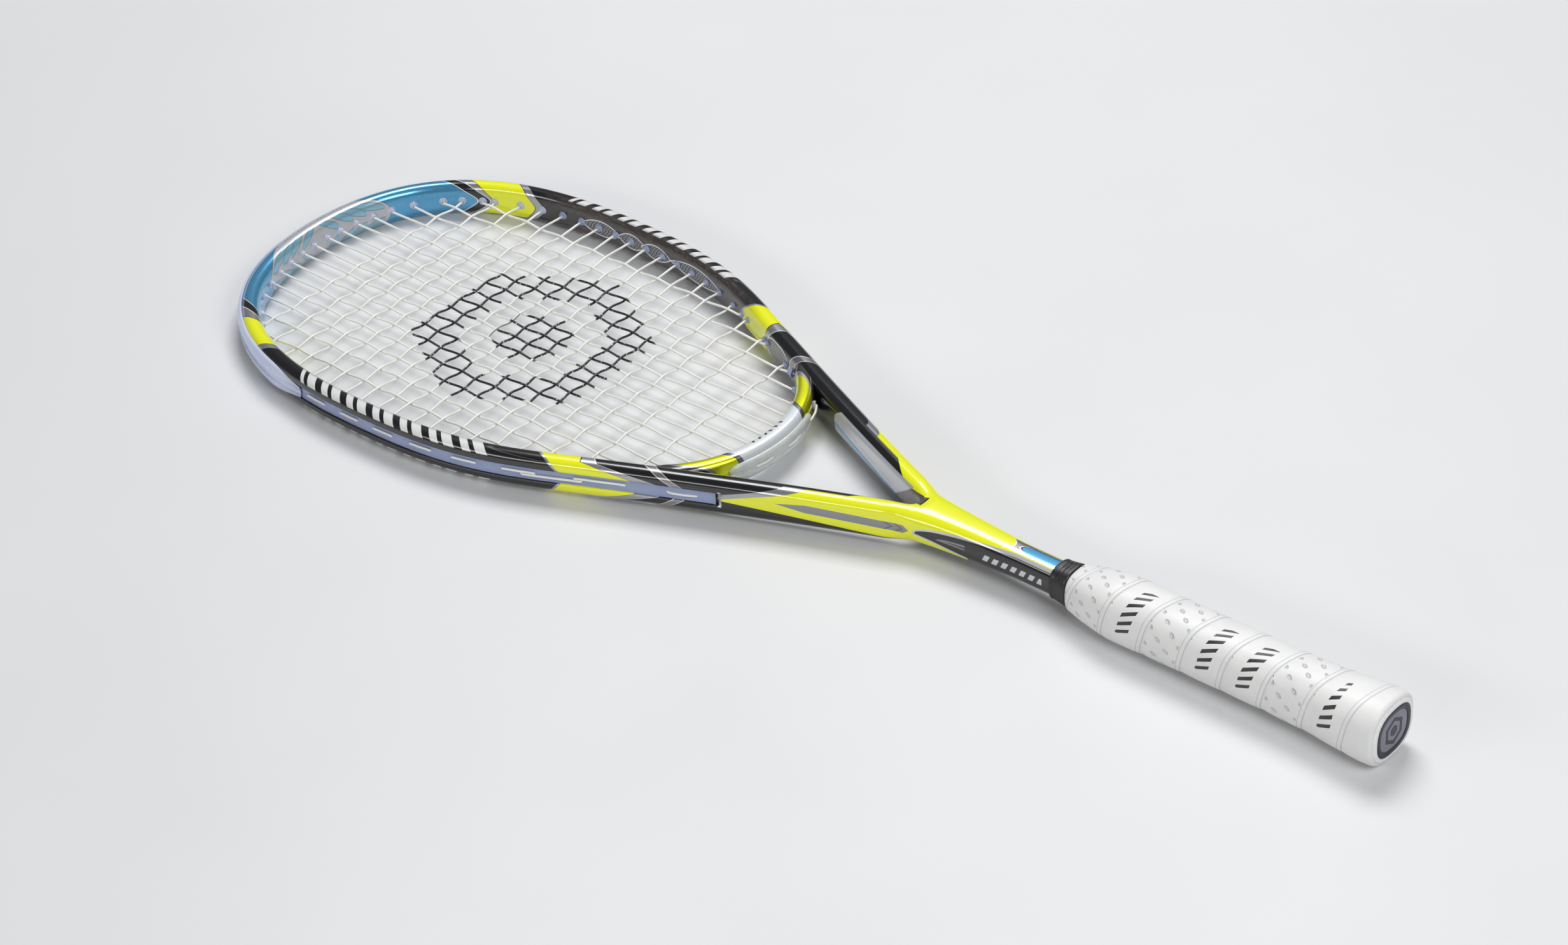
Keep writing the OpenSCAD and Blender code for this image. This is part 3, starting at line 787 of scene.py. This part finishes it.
def soft_plastic(name, colour, roughness, scatter, transmission=0.0):
    """Translucent nylon with faint scuffs and cloudiness."""
    s = Surface(name, colour, roughness, Subsurface_Weight=scatter, Subsurface_Scale=0.004,
                Transmission_Weight=transmission, IOR=1.5)
    s.shader.inputs["Subsurface Radius"].default_value = (1.0, 1.0, 1.2)
    cloud = s.noise(9.0, 3.0)
    s.layer(cloud.over(0.55, 0.5), tuple(min(1.0, c * 1.1) for c in colour))
    scuff = s.noise(0.6, 4.0, (14, 14, 1))
    s.layer(scuff.over(0.62, 0.08), None, roughness + 0.18)
    s.bump(scuff, 0.015)
    s.bump(s.noise(2.5), 0.02)
    return s.done()


def string_material():
    """Coated string, with a plain hexagon stencilled on the string bed in worn ink."""
    s = Surface("string", (0.85, 0.85, 0.81), 0.28, Coat_Weight=0.4, Coat_Roughness=0.15)
    x, y, z = s.position()
    s.layer(s.noise(30.0).over(0.5, 0.4), (0.84, 0.84, 0.80))
    from_centre = abs(x - STENCIL_X)
    hexagon = from_centre.at_least(from_centre * 0.5 + abs(y) * COS_30)
    ink = hexagon.between(*STENCIL_RING, 0.8) | hexagon.under(STENCIL_CORE, 0.8)
    worn = s.noise(1.6, 3.0).under(0.66, 0.1)
    s.layer(ink & worn & z.over(-1.2, 0.3), (0.012, 0.012, 0.014), 0.45)
    s.bump(s.noise(0.5), 0.01)
    s.bump(s.noise(4.0), 0.02)
    return s.done()


def overgrip_material():
    """White tacky film on felt: seams, pressed ovals on some turns, printed bars on the rest, with painted
    shade in the seam creases and on the walls of the pressed ovals.
    """
    s = Surface("overgrip", (0.80, 0.80, 0.79), 0.46, Subsurface_Weight=0.10, Subsurface_Scale=0.002,
                Sheen_Weight=0.12)
    x, y, z = s.position()
    angle = z.math("ARCTAN2", y)
    run = x + angle * (WRAP_PITCH / (2 * math.pi)) - WRAP_START
    past_seam = run.repeat(WRAP_PITCH)
    round_mm = angle * HANDLE_R
    s.layer(s.noise(14.0, 3.0).over(0.58, 0.4), (0.75, 0.75, 0.75))
    # painted shade: grey, rougher lines in the seam creases, at each seam and 2.6 mm past it, where the
    # tape dips
    s.layer(past_seam.under(0.5, 0.8) | past_seam.near(2.6, 0.16, 0.3), (0.50, 0.50, 0.51), 0.6)
    turn = (run * (1 / WRAP_PITCH)).math("FLOOR")
    pressed = turn.near(1.0, 0.4, 0.1) | turn.near(4.0, 0.4, 0.1) | turn.over(5.5, 0.1)
    plain = turn.under(-0.5, 0.1)
    # pressed marks: staggered slanted ovals
    row = (past_seam * (1 / OVAL_ROW)).math("FLOOR")
    u = past_seam.repeat(OVAL_ROW) - OVAL_ROW / 2
    v = (round_mm + row * (OVAL_STEP / 2)).repeat(OVAL_STEP) - OVAL_STEP / 2
    a, b = u * 0.86 + v * 0.5, v * 0.86 - u * 0.5
    oval = (a * a * 0.30 + b * b * 1.6).root()
    marks = oval.under(0.9, 0.7) & pressed & past_seam.between(3.4, 20.9, 0.4)
    s.bump(~marks, 0.5)
    # painted shade: a grey rim inside each pressed oval, on the walls of its dent
    s.layer(marks & oval.over(0.35, 0.4), (0.54, 0.54, 0.55), 0.6)
    # printed marks: groups of slanted bars on the two broad faces
    bars = (round_mm + past_seam * 0.45).repeat(BAR_STEP).under(2.0) & past_seam.between(7.8, 14.6)
    group = (round_mm + GROUP_START).repeat(HALF_TURN).under(GROUP_LENGTH)
    s.layer(bars & group & ~pressed & ~plain & x.between(22.0, 160.0), (0.022, 0.022, 0.025), 0.45)
    # fine pores and creases
    s.bump(s.noise(0.55, 3.0), 0.05)
    s.bump(s.noise(7.0, 2.0, (1, 2, 2)), 0.10)
    return s.done()


def collar_material():
    """Black rubber with faint rings round it."""
    s = Surface("collar_rubber", (0.014, 0.014, 0.016), 0.36)
    x = s.position()[0]
    s.layer(s.noise(3.0, 3.0).over(0.55, 0.3), (0.024, 0.024, 0.027), 0.46)
    s.bump((x * 2.6).wave(), 0.03)
    s.bump(s.noise(0.5), 0.02)
    return s.done()


def grained(name, colour, roughness, size, depth, metallic=0.0):
    """A plain material with grain in its colour, roughness and height."""
    s = Surface(name, colour, roughness, metallic)
    grain = s.noise(size, 4.0)
    s.layer(grain.over(0.52, 0.4), tuple(c * 1.25 for c in colour), min(1.0, roughness + 0.12))
    s.bump(grain, depth)
    return s.done()


# ---------- frame ----------
SHAFT_START_X = 170
CROTCH_X = 265.5
CROTCH_REACH = 9.0
ARM_BLEND = (256, 278)
SECTION_BLEND = (259, 276)
FORK_SKIN_X = 300
TURN_X = (300, 340)


def ease(value, low, high):
    """0 below low, 1 above high, and smooth between."""
    t = np.clip((value - low) / (high - low), 0, 1)
    return t * t * (3 - 2 * t)


def shaft_half(count):
    """Half of the shaft's section from 0 to 1 across and -1 to 1 up: a wall in the middle plane
    and a rounded outside, with as many points as the beam's section."""
    wall = np.column_stack([np.zeros(4), np.linspace(0, 1, 4)])
    t = np.radians(np.linspace(90, 0, count // 2 - 2))
    round_side = np.column_stack([np.cos(t).clip(0)**(2 / 3), np.sin(t).clip(0)**(2 / 3)])
    return both_halves(np.concatenate([wall, round_side[1:]]))


def fork_ring(x, section):
    """A ring across the racket at x: an arm's section that becomes half of the shaft's."""
    rows = slice(tip_count, None)
    slope = np.interp(-x, -half_path[rows, 0], half_slope[rows])
    centre = np.interp(-x, -half_path[:, 0], half_path[:, 1])
    half = width_at(x) / 2 * math.hypot(1, slope)
    arm_out = centre + half
    shaft_w, shaft_h = (v[0] for v in stations(SHAFT, np.array([min(x, SHAFT[-1][0])])))
    blend = ease(x, *ARM_BLEND)
    wide = (1 - blend) * shaft_w / 2 + blend * arm_out
    high = (1 - blend) * shaft_h / 2 + blend * height_at(x) / 2
    rise = np.clip((x - CROTCH_X) / CROTCH_REACH, 0, 1)
    inner = (arm_out - 2 * half) * math.sqrt(rise * (2 - rise))
    unit = section / np.abs(section).max(axis=0)
    arm = np.column_stack([inner + (unit[:, 0] + 1) / 2 * (wide - inner), unit[:, 1] * high])
    half_shape = shaft_half(len(section))
    flat = np.column_stack([inner + half_shape[:, 0] * (wide - inner), half_shape[:, 1] * high])
    mix = ease(x, *SECTION_BLEND)
    yz = flat * (1 - mix) + arm * mix
    return np.column_stack([np.full(len(yz), x), yz])


def half_rings():
    """Rings down one half of the frame, from the tip to the front of the handle, and for each
    ring its distance from the tip."""
    rings, along = [], []
    for k, (p, out) in enumerate(zip(half_path, half_out)):
        x = p[0]
        if x < FORK_SKIN_X:
            break
        groove = GROOVE_D * float(np.clip((x - GROOVE_X) / 2.5, 0, 1))
        q = beam_section(width_at(x), height_at(x), groove)
        across_arm = (0.0, math.hypot(1, half_slope[k])) if x < CORNER[0] else out
        mix = 1 - ease(x, *TURN_X)
        v = out * (1 - mix) + np.array(across_arm) * mix
        rings.append(np.column_stack([p[0] + v[0] * q[:, 0], p[1] + v[1] * q[:, 0], q[:, 1]]))
        along.append(half_along[k])
    below = np.concatenate([np.arange(FORK_SKIN_X - 1, 276, -PATH_STEP), np.arange(275.5, 262, -0.5),
                            np.arange(261, SHAFT_START_X, -1.5), [SHAFT_START_X]])
    section = beam_section(2.0, 19.2, 0.0)
    for x in below:
        rings.append(fork_ring(x, section))
        along.append(along_at(max(x, FORK_END_X)) + max(0.0, FORK_END_X - x))
    return np.array(rings), np.array(along)


def add_field(mesh, name, values):
    """A value at every vertex, for the materials."""
    mesh.attributes.new(name, "FLOAT", "POINT").data.foreach_set("value", values.astype(np.float32))


def frame_shell():
    """The hoop, the arms and the shaft in one skin. The two arms share the shaft's middle plane."""
    rings, along = half_rings()
    both = np.concatenate([(rings * (1, -1, 1))[::-1][:-1], rings])
    verts, faces = skin(both)
    middle = [abs(verts[list(f), 1]).max() < 1e-3 for f in faces]
    section = beam_section(TUBE_W, 18.8, 0.0)
    walk = lengths(section[:len(section) // 2 + 1])
    walk = np.concatenate([walk, walk[1:-1][::-1]])
    outer = np.clip(section[:, 0] / (TUBE_W / 2), -1, 1) * 0.5 + 0.5
    made = new_object("frame", verts, [f for f, gone in zip(faces, middle) if not gone], 50)
    mesh = made.data
    add_field(mesh, "along", np.repeat(np.concatenate([along[::-1][:-1], along]), len(section)))
    add_field(mesh, "ring", np.tile(walk, len(both)))
    add_field(mesh, "outer", np.tile(outer, len(both)))
    work = bmesh.new()
    work.from_mesh(mesh)
    seam = [v for v in work.verts if abs(v.co.y) < 1e-6 and v.co.x < FORK_SKIN_X * MM]
    bmesh.ops.remove_doubles(work, verts=seam, dist=1e-6)
    work.to_mesh(mesh)
    work.free()
    shade(mesh, 50)
    return made


bridge_path, bridge_path_out = across(bridge_half), across(bridge_out)
BRIDGE_HALF_SPAN = 59.2
BRIDGE_POWER = 3.2


def bridge_shell():
    """The bridge. It widens towards the arms, and its ends taper inside them."""
    path, outs = kept(bridge_path, bridge_path_out, lambda x, y: abs(y) < BRIDGE_HALF_SPAN)
    count = 48

    def section(i):
        y = abs(path[i, 1])
        flare = np.clip((y - 38) / 22, 0, 1)**2
        buried = ease(y, 52, 59)
        return superellipse(BRIDGE_W + 1.6 * flare - 5.5 * buried, BRIDGE_H + 0.8 * flare,
                            BRIDGE_POWER, count)
    made = merged("bridge", [skin(swept(path, outs, section))], 60)
    add_field(made.data, "outer", np.tile(superellipse(2, 2, BRIDGE_POWER, count)[:, 0], len(path)))
    return made


# ---------- grommets ----------
hoop_path = np.concatenate([half_path[::-1], half_path[1:] * (1, -1)])
hoop_out = np.concatenate([half_out[::-1], half_out[1:] * (1, -1)])
STRIP_START_X = 354
BUMPER_START_X = 579
BUMPER_TAPER = 26
THROAT_STRIP_Y = 28.5
BARREL = [(0.2, 0.95), (0.2, 1.25), (0.5, BARREL_R), (1.3, BARREL_R + 0.05), (1.75, 2.0),
          (2.1, 2.45), (3.0, 2.5), (3.0, 0.95)]


def barrel(seat):
    """A grommet's barrel where it stands out of the inner wall."""
    return lathe(seat, BARREL)


def strip_section(a, end):
    """A thin strip with raised edges in the groove of a beam a half wide. At its end, where end is
    1, it is thicker."""
    base, face, r = a - GROOVE_D + 0.02, a - 1.35 + 0.45 * end, GROOVE_H - 0.12
    rim = face + 0.4
    return np.array([(base, 0.2 - r), (rim, -r), (rim, -r + 0.45), (face, -r + 0.75), (face, 0),
                     (face, r - 0.75), (rim, r - 0.45), (rim, r), (base, r - 0.2), (base, 0)])


def grommet_strip(name, side):
    path, outs = kept(hoop_path, hoop_out, lambda x, y: (x > STRIP_START_X) & (x < BUMPER_END_X - 1)
                      & (np.sign(y) == side))
    ends = (path[:, 0] < STRIP_START_X + 1.4).astype(float)
    rings = swept(path, outs, lambda i: strip_section(width_at(path[i, 0]) / 2, ends[i]))
    seats = [s for s in [*far_seats, *near_seats, *foot_seats]
             if s.kind != "bridge" and np.sign(s.mouth[1]) == side and s.mouth[0] < BUMPER_END_X]
    return merged(name, [skin(rings)] + [barrel(s) for s in seats])


def bumper_section(a, t, high):
    """The guard's section: a soft D with a string channel along its middle."""
    base = a + 0.03
    channel = 0.9 * min(1.0, t / BUMPER_T)
    upper = np.concatenate([
        [(base - 0.6, 0), (base - 0.6, high * 0.5), (base, high * 0.8)],
        arc(base, high * 0.62, t * 0.80, high * 0.38, 90, 20, 8),
        [(base + t * 0.93, high * 0.55), (a + t, high * 0.40), (a + t, 2.3), (a + t - 0.25, 2.0),
         (a + t - channel, 1.75), (a + t - channel, 0)]])
    return both_halves(upper)


def bumper():
    """The guard round the tip, thin at its two ends."""
    path, outs = kept(hoop_path, hoop_out, lambda x, y: x > BUMPER_START_X)
    full = ease(path[:, 0], BUMPER_START_X, BUMPER_START_X + BUMPER_TAPER)
    thin = 0.35

    def section(i):
        return bumper_section(width_at(path[i, 0]) / 2, thin + (BUMPER_T - thin) * full[i],
                              3.0 + 4.4 * full[i]**0.7)
    seats = [s for s in [*far_seats, *near_seats, *head_seats] if s.mouth[0] > BUMPER_END_X]
    return merged("bumper", [skin(swept(path, outs, section))] + [barrel(s) for s in seats], 35)


def throat_strip():
    """The clear strip on the handle side of the bridge, with rounded ends, and two lone grommets."""
    path, outs = kept(bridge_path, bridge_path_out, lambda x, y: abs(y) < THROAT_STRIP_Y)
    rise = np.sqrt(np.clip(1 - (abs(path[:, 1]) / (THROAT_STRIP_Y + 0.3))**14, 0.02, 1))
    a = BRIDGE_W / 2 + 0.02

    def section(i):
        t, r = 1.9 * rise[i], 4.9 * rise[i]
        top = arc(a, r * 0.55, t, r * 0.45, 90, 0, 7)
        channel = [(a + t, r * 0.3), (a + t - 0.35, r * 0.22), (a + t - 0.35, 0)]
        return both_halves(np.concatenate([[(a - 0.4, 0), (a - 0.4, r * 0.8)], top, channel]))
    bridge_seats = [s for s in foot_seats if s.kind == "bridge"]
    flange = [(0.0, 0.9), (0.0, 2.2), (0.6, 2.3), (0.95, 1.9), (1.0, 0.9)]
    lone = [lathe(s, [(s.depth + step, r) for step, r in flange])
            for s in bridge_seats if abs(s.mouth[1]) > THROAT_STRIP_Y]
    return merged("throat_strip", [skin(swept(path, outs, section))]
                  + [barrel(s) for s in bridge_seats] + lone, 35)


# ---------- strings ----------
MAIN_WAVE = 0.56
CROSS_WAVE = 0.77
LOOP_Z = 0.75
WAVE_STEP = 1.6
STRING_CORNER = 0.7


def seat_run(seat, z):
    """A string from a seat's mouth to its loop outside."""
    if seat.kind == "bridge":
        return [seat.at(0), seat.at(seat.depth + 1.6)]
    return [seat.at(0), seat.at(seat.depth - 1.35 * seat.lean), seat.at(seat.depth - 0.5 * seat.lean, z)]


def loop_between(a, b, z):
    """A loop in the groove from one seat to the next, bowed a little outwards."""
    if a.kind == "bridge":
        return [(a.at(a.depth + 2.3) + b.at(b.depth + 2.3)) / 2]
    if a.kind == "through":
        return [(a.at(a.depth - 0.1, z) + b.at(b.depth - 0.1, z)) / 2]
    first, last = (int(np.linalg.norm(half_path - abs(s.mouth + s.out * HOOP_REACH), axis=1).argmin())
                   for s in (a, b))
    out = []
    for t in (0.2, 0.35, 0.5, 0.65, 0.8):
        k = int(round(first + (last - first) * t))
        bow = width_at(half_path[k, 0]) / 2 - 0.8 + 0.28 * math.sin(math.pi * t)
        x, y = half_path[k] + half_out[k] * bow
        out.append(np.array([x, np.sign(a.mouth[1]) * y, z]))
    return out


def waved(start, end, crossings):
    """A straight run from start to end that rises and dips to given heights at given places.
    Crossings are (distance along the run, height)."""
    span = np.linalg.norm(end - start)
    knots = [(0.0, 0.0), *crossings, (span, 0.0)]
    at = np.linspace(0, span, max(3, int(span / WAVE_STEP)))
    points = start + (end - start) * (at / span)[:, None]
    for (a, low), (b, high) in zip(knots, knots[1:]):
        inside = (at >= a) & (at <= b)
        turn = math.pi * (at[inside] - a) / (b - a)
        points[inside, 2] = low + (high - low) * (1 - np.cos(turn)) / 2
    return points


def strand(first, last, crossings, z):
    """A string from the loop outside one seat, across the bed, to the loop outside another."""
    middle = waved(first.at(0), last.at(0), crossings)
    return seat_run(first, z)[::-1][:-1] + list(middle) + seat_run(last, z)[1:]


def main_line(i):
    head, foot = head_seats[i], foot_seats[i]
    crossings = [(head.mouth[0] - CROSS_X[k], -MAIN_WAVE if (i + k) % 2 == 0 else MAIN_WAVE)
                 for k in reversed(range(len(CROSS_X)))
                 if foot.mouth[0] + 2.0 < CROSS_X[k] < head.mouth[0] - 2.0]
    return strand(head, foot, crossings, -LOOP_Z)


def cross_line(k):
    far, near = far_seats[k], near_seats[k]
    crossings = [(y - far.mouth[1], CROSS_WAVE if (i + k) % 2 == 0 else -CROSS_WAVE)
                 for i, y in enumerate(all_main_y) if abs(y) < near.mouth[1] - 1.2]
    return strand(far, near, crossings, LOOP_Z)


def strung(name, lines, ends, z):
    """One length of string: every second line is taken backwards, and loops join them. Ends are
    the seats where the lines taken forwards end, and where the others end."""
    path = []
    for i, line in enumerate(lines):
        path += line[::-1] if i % 2 else line
        if i + 1 < len(lines):
            path += loop_between(ends[i % 2][i], ends[i % 2][i + 1], z)
    return merged(name, [tube(smoothed(path, STRING_CORNER), STRING_R)])


def main_strings():
    return strung("mains", [main_line(i) for i in range(len(all_main_y))], (foot_seats, head_seats),
                  -LOOP_Z)


def cross_strings():
    return strung("crosses", [cross_line(k) for k in range(len(CROSS_X))], (near_seats, far_seats),
                  LOOP_Z)


# ---------- handle ----------
def roll(depth, from_end, reach):
    """How far the wrap turns in near one end, below 0. From_end grows towards that end."""
    return depth * np.sqrt(np.clip(1 - (from_end / reach).clip(0, 1)**2, 0, 1)) - depth


def overgrip():
    """A long tape wound in a spiral: each turn lies over the edge of the one before."""
    around = 192
    front = HANDLE[-1][0]
    xs = np.concatenate([[0.75, 0.8, 1.0, 1.4, 2.0, 2.6], np.arange(3.2, front - 2.5, 0.45),
                         front - np.array([2.1, 1.4, 0.8, 0.4, 0.2, 0.2])])
    w, h = stations(HANDLE, xs)
    rolls = roll(1.75, 3.4 - xs, 2.7) + roll(1.3, xs - front + 2.4, 2.2)
    rings = []
    for x, a, b, rolled in zip(xs, w, h, rolls):
        q = superellipse(a, b, HANDLE_POWER, around)
        angle = np.arctan2(q[:, 1], q[:, 0])
        past = (x + angle * WRAP_PITCH / (2 * math.pi) - WRAP_START) % WRAP_PITCH
        lap = np.exp(-past / 5.0) * 0.20
        valley = -0.20 * np.exp(-(np.minimum(past, WRAP_PITCH - past) / 0.55)**2)
        second = -0.12 * np.exp(-((past - 2.6) / 0.35)**2)
        puff = 0.30 * np.sin(math.pi * past / WRAP_PITCH)
        body = np.clip((x - 8) / 10, 0, 1) * np.clip((front - 1 - x) / 4, 0, 1)
        push = (lap + valley + second + puff - 0.30) * body + rolled
        n = q / np.linalg.norm(q, axis=1)[:, None]
        rings.append(np.column_stack([np.full(around, x), q + n * push[:, None]]))
    inner = ovals([(front - 0.4, 17.2, 17.4), (front - 3, 17.0, 17.2), (4.0, 29.0, 26.0),
                   (1.2, 29.0, 26.0)], HANDLE_POWER, around)
    return merged("wrap", [skin(rings + inner, closed=True)], 60)


CAP_POWER = 2.6
COLLAR_POWER = 2.8
# name: power of the oval, whether the skin closes on itself, rows of [x, width, height]
OVAL_PIECES = {
    # the end face and its rounded rim, which stands just out of the wrap
    "cap": (CAP_POWER, False, [
        (6.0, 28.0, 25.0), (1.6, 31.6, 28.6), (0.9, 31.5, 28.5), (0.35, 31.0, 28.0),
        (0.05, 30.0, 27.1), (0.0, 29.2, 26.4), (0.05, 26.8, 24.4), (0.8, 26.7, 24.3),
        (0.8, 4.0, 3.6)]),
    "badge_rim": (CAP_POWER, True, [
        (0.75, 26.6, 24.2), (0.1, 26.6, 24.2), (0.0, 26.3, 23.9), (0.0, 21.4, 19.0),
        (0.12, 21.1, 18.7), (0.75, 21.1, 18.7)]),
    # the plain plate inside the badge's ring
    "badge_face": (CAP_POWER, False, [
        (0.75, 21.0, 18.6), (0.22, 21.0, 18.6), (0.14, 20.6, 18.2), (0.14, 3.0, 2.6)]),
    # a plain rubber sleeve, tapered towards the head, with a small lip at its front, then its bore
    "sleeve": (COLLAR_POWER, True, [(COLLAR_X + step, w, h) for step, w, h in (
        (0, 18.4, 18.6), (0.2, 19.1, 19.3), (0.8, 19.5, 19.7), (2.5, 19.1, 19.3),
        (4.5, 18.5, 18.8), (6.5, 18.0, 18.4), (8.0, 17.6, 18.0), (8.3, 17.9, 18.3),
        (9.2, 17.9, 18.3), (9.8, 17.3, 17.7), (9.95, 16.2, 16.6),
        (9.5, 15.75, 16.15), (0.5, 15.75, 16.15), (0, 16.4, 16.8))]),
}


def oval_piece(name):
    """A piece at either end of the handle, made of ovals across it."""
    power, closed, profile = OVAL_PIECES[name]
    return merged(name, [skin(ovals(profile, power), closed)], 50)


def badge_mark():
    """A raised hexagon ring on the badge, round a small hexagon."""
    def hexagons(*rows):
        t = np.radians(np.arange(6) * 60 + 30)
        return [np.column_stack([np.full(6, x), r * np.cos(t), r * np.sin(t)]) for r, x in rows]
    ring = hexagons((7.4, 0.15), (7.4, 0.03), (5.4, 0.03), (5.4, 0.15))
    middle = hexagons((2.9, 0.15), (2.9, 0.03), (0.4, 0.03))
    return merged("badge_mark", [skin(ring, closed=True), skin(middle)], 30)


# ---------- pieces ----------
def place(piece, material, body, slot, *nodes):
    """Finishes a piece: its material, the body it rides on, and the CAD nodes it stands for."""
    piece.data.materials.clear()
    piece.data.materials.append(material)
    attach(piece, body)
    if nodes:
        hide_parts(*nodes)


lavender = soft_plastic("strip_plastic", (0.42, 0.50, 0.80), 0.34, 0.35, 0.25)
white_string = string_material()
place(frame_shell(), frame_paint(), "racket", "carbon_paint", "frame_tube")
place(bridge_shell(), bridge_paint(), "racket", "bridge_paint", "throat_bridge")
place(bumper(), soft_plastic("bumper_plastic", (0.58, 0.64, 0.86), 0.26, 0.4), "racket",
      "bumper_plastic", "bumper_guard")
for side_name, side in (("near", 1), ("far", -1)):
    place(grommet_strip(side_name + "_strip", side), lavender, "racket", "strip_plastic",
          side_name + "_grommet_strip")
place(throat_strip(), soft_plastic("clear_plastic", (0.80, 0.84, 0.80), 0.24, 0.35, 0.35), "racket",
      "clear_plastic", "throat_grommet_strip")
place(main_strings(), white_string, "racket", "string", "main_strings")
place(cross_strings(), white_string, "racket", "string", "cross_strings")
place(overgrip(), overgrip_material(), "racket", "overgrip", "overgrip")
place(oval_piece("cap"), grained("cap_rubber", (0.78, 0.78, 0.78), 0.42, 0.8, 0.02), "racket", "cap_rubber",
      "butt_cap")
place(oval_piece("badge_rim"), grained("badge_dark", (0.010, 0.012, 0.024), 0.34, 0.6, 0.01),
      "racket", "badge_dark", "badge_ring")
place(oval_piece("badge_face"), grained("badge_grey", (0.20, 0.20, 0.25), 0.40, 0.5, 0.01),
      "racket", "badge_grey", "badge_plate")
place(badge_mark(), grained("badge_mark", (0.008, 0.009, 0.014), 0.30, 0.5, 0.01), "racket",
      "badge_dark")
place(oval_piece("sleeve"), collar_material(), "collar", "collar_rubber", "grip_collar")

FOAM = ("foam", (0.62, 0.55, 0.36), 0.85, 1.2, 0.15)
HIDDEN = {
    "near_handle_pallet": FOAM,
    "far_handle_pallet": FOAM,
    "base_grip": ("base_grip", (0.03, 0.03, 0.035), 0.6, 0.7, 0.08),
    "finishing_tape": ("tape", (0.02, 0.02, 0.02), 0.35, 2.0, 0.03),
    "cap_staples": ("staple_steel", (0.55, 0.56, 0.58), 0.3, 0.4, 0.01, 1.0),
}
for node, look in HIDDEN.items():
    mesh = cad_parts[node].data
    mesh.materials.clear()
    mesh.materials.append(bpy.data.materials.get(look[0]) or grained(*look))

# ---------- stage: pale floor, soft light, camera; lights and camera in metres ----------
BUTT_REST = Vector((8, 0, -16.3)) * MM
TIP_REST = Vector((681, 0, -9.25)) * MM
FLOOR_HALF_M = 12.0
CAMERA_AT = (-0.68237, 1.14480, 1.10526)
CAMERA_BACK = (-0.54277, 0.60099, 0.58670)
CAMERA_RIGHT = (-0.76320, -0.64454, -0.04581)
CAMERA_LENS = 89.32


def floor():
    """A pale floor under the butt and the tip, the two places that the racket rests on."""
    slope = math.atan2(TIP_REST.z - BUTT_REST.z, TIP_REST.x - BUTT_REST.x)
    corners = [(x * FLOOR_HALF_M, y * FLOOR_HALF_M, 0) for x, y in ((-1, -1), (1, -1), (1, 1), (-1, 1))]
    mesh = bpy.data.meshes.new("floor")
    mesh.from_pydata(corners, [], [(0, 1, 2, 3)])
    made = linked("floor", mesh)
    made.matrix_world = Matrix.Translation(BUTT_REST) @ Matrix.Rotation(-slope, 4, "Y")
    s = Surface("floor", (0.74, 0.745, 0.755), 0.5)
    s.layer(s.noise(220.0, 3.0).over(0.5, 0.6), (0.70, 0.705, 0.715), 0.58)
    made.data.materials.append(s.done())


def softbox(name, at, size, power, colour=(1, 1, 1)):
    """A lit rectangle that faces the middle of the racket."""
    light = bpy.data.lights.new(name, "AREA")
    light.shape, light.size, light.size_y = "RECTANGLE", *size
    light.energy, light.color = power, colour
    made = linked(name, light)
    made.location = at
    made.rotation_euler = (Vector(at) - Vector((0.35, 0, 0))).to_track_quat("Z", "Y").to_euler()


def studio():
    world = bpy.data.worlds.new("studio")
    world.use_nodes = True
    background = world.node_tree.nodes["Background"]
    background.inputs["Color"].default_value = (0.92, 0.95, 1.0, 1)
    background.inputs["Strength"].default_value = 0.16
    bpy.context.scene.world = world
    softbox("key", (0.9, -0.9, 1.7), (1.1, 0.8), 29)
    softbox("side", (-0.9, 0.3, 1.2), (0.8, 0.7), 12)
    softbox("front", (0.6, 1.9, 0.9), (1.6, 0.35), 12, (1.0, 0.98, 0.95))


def camera():
    """The camera: beyond the butt, above it and to the near side, with a slight roll."""
    back = Vector(CAMERA_BACK).normalized()
    right = Vector(CAMERA_RIGHT)
    right = (right - back * right.dot(back)).normalized()
    up = back.cross(right)
    data = bpy.data.cameras.new("camera")
    data.sensor_width, data.lens = 36.0, CAMERA_LENS
    data.clip_start, data.clip_end = 0.05, 50
    made = linked("camera", data)
    turn = Matrix((right, up, back)).transposed().to_4x4()
    made.matrix_world = Matrix.Translation(Vector(CAMERA_AT)) @ turn
    bpy.context.scene.camera = made


floor()
studio()
camera()
bpy.context.scene.view_settings.view_transform = "Standard"
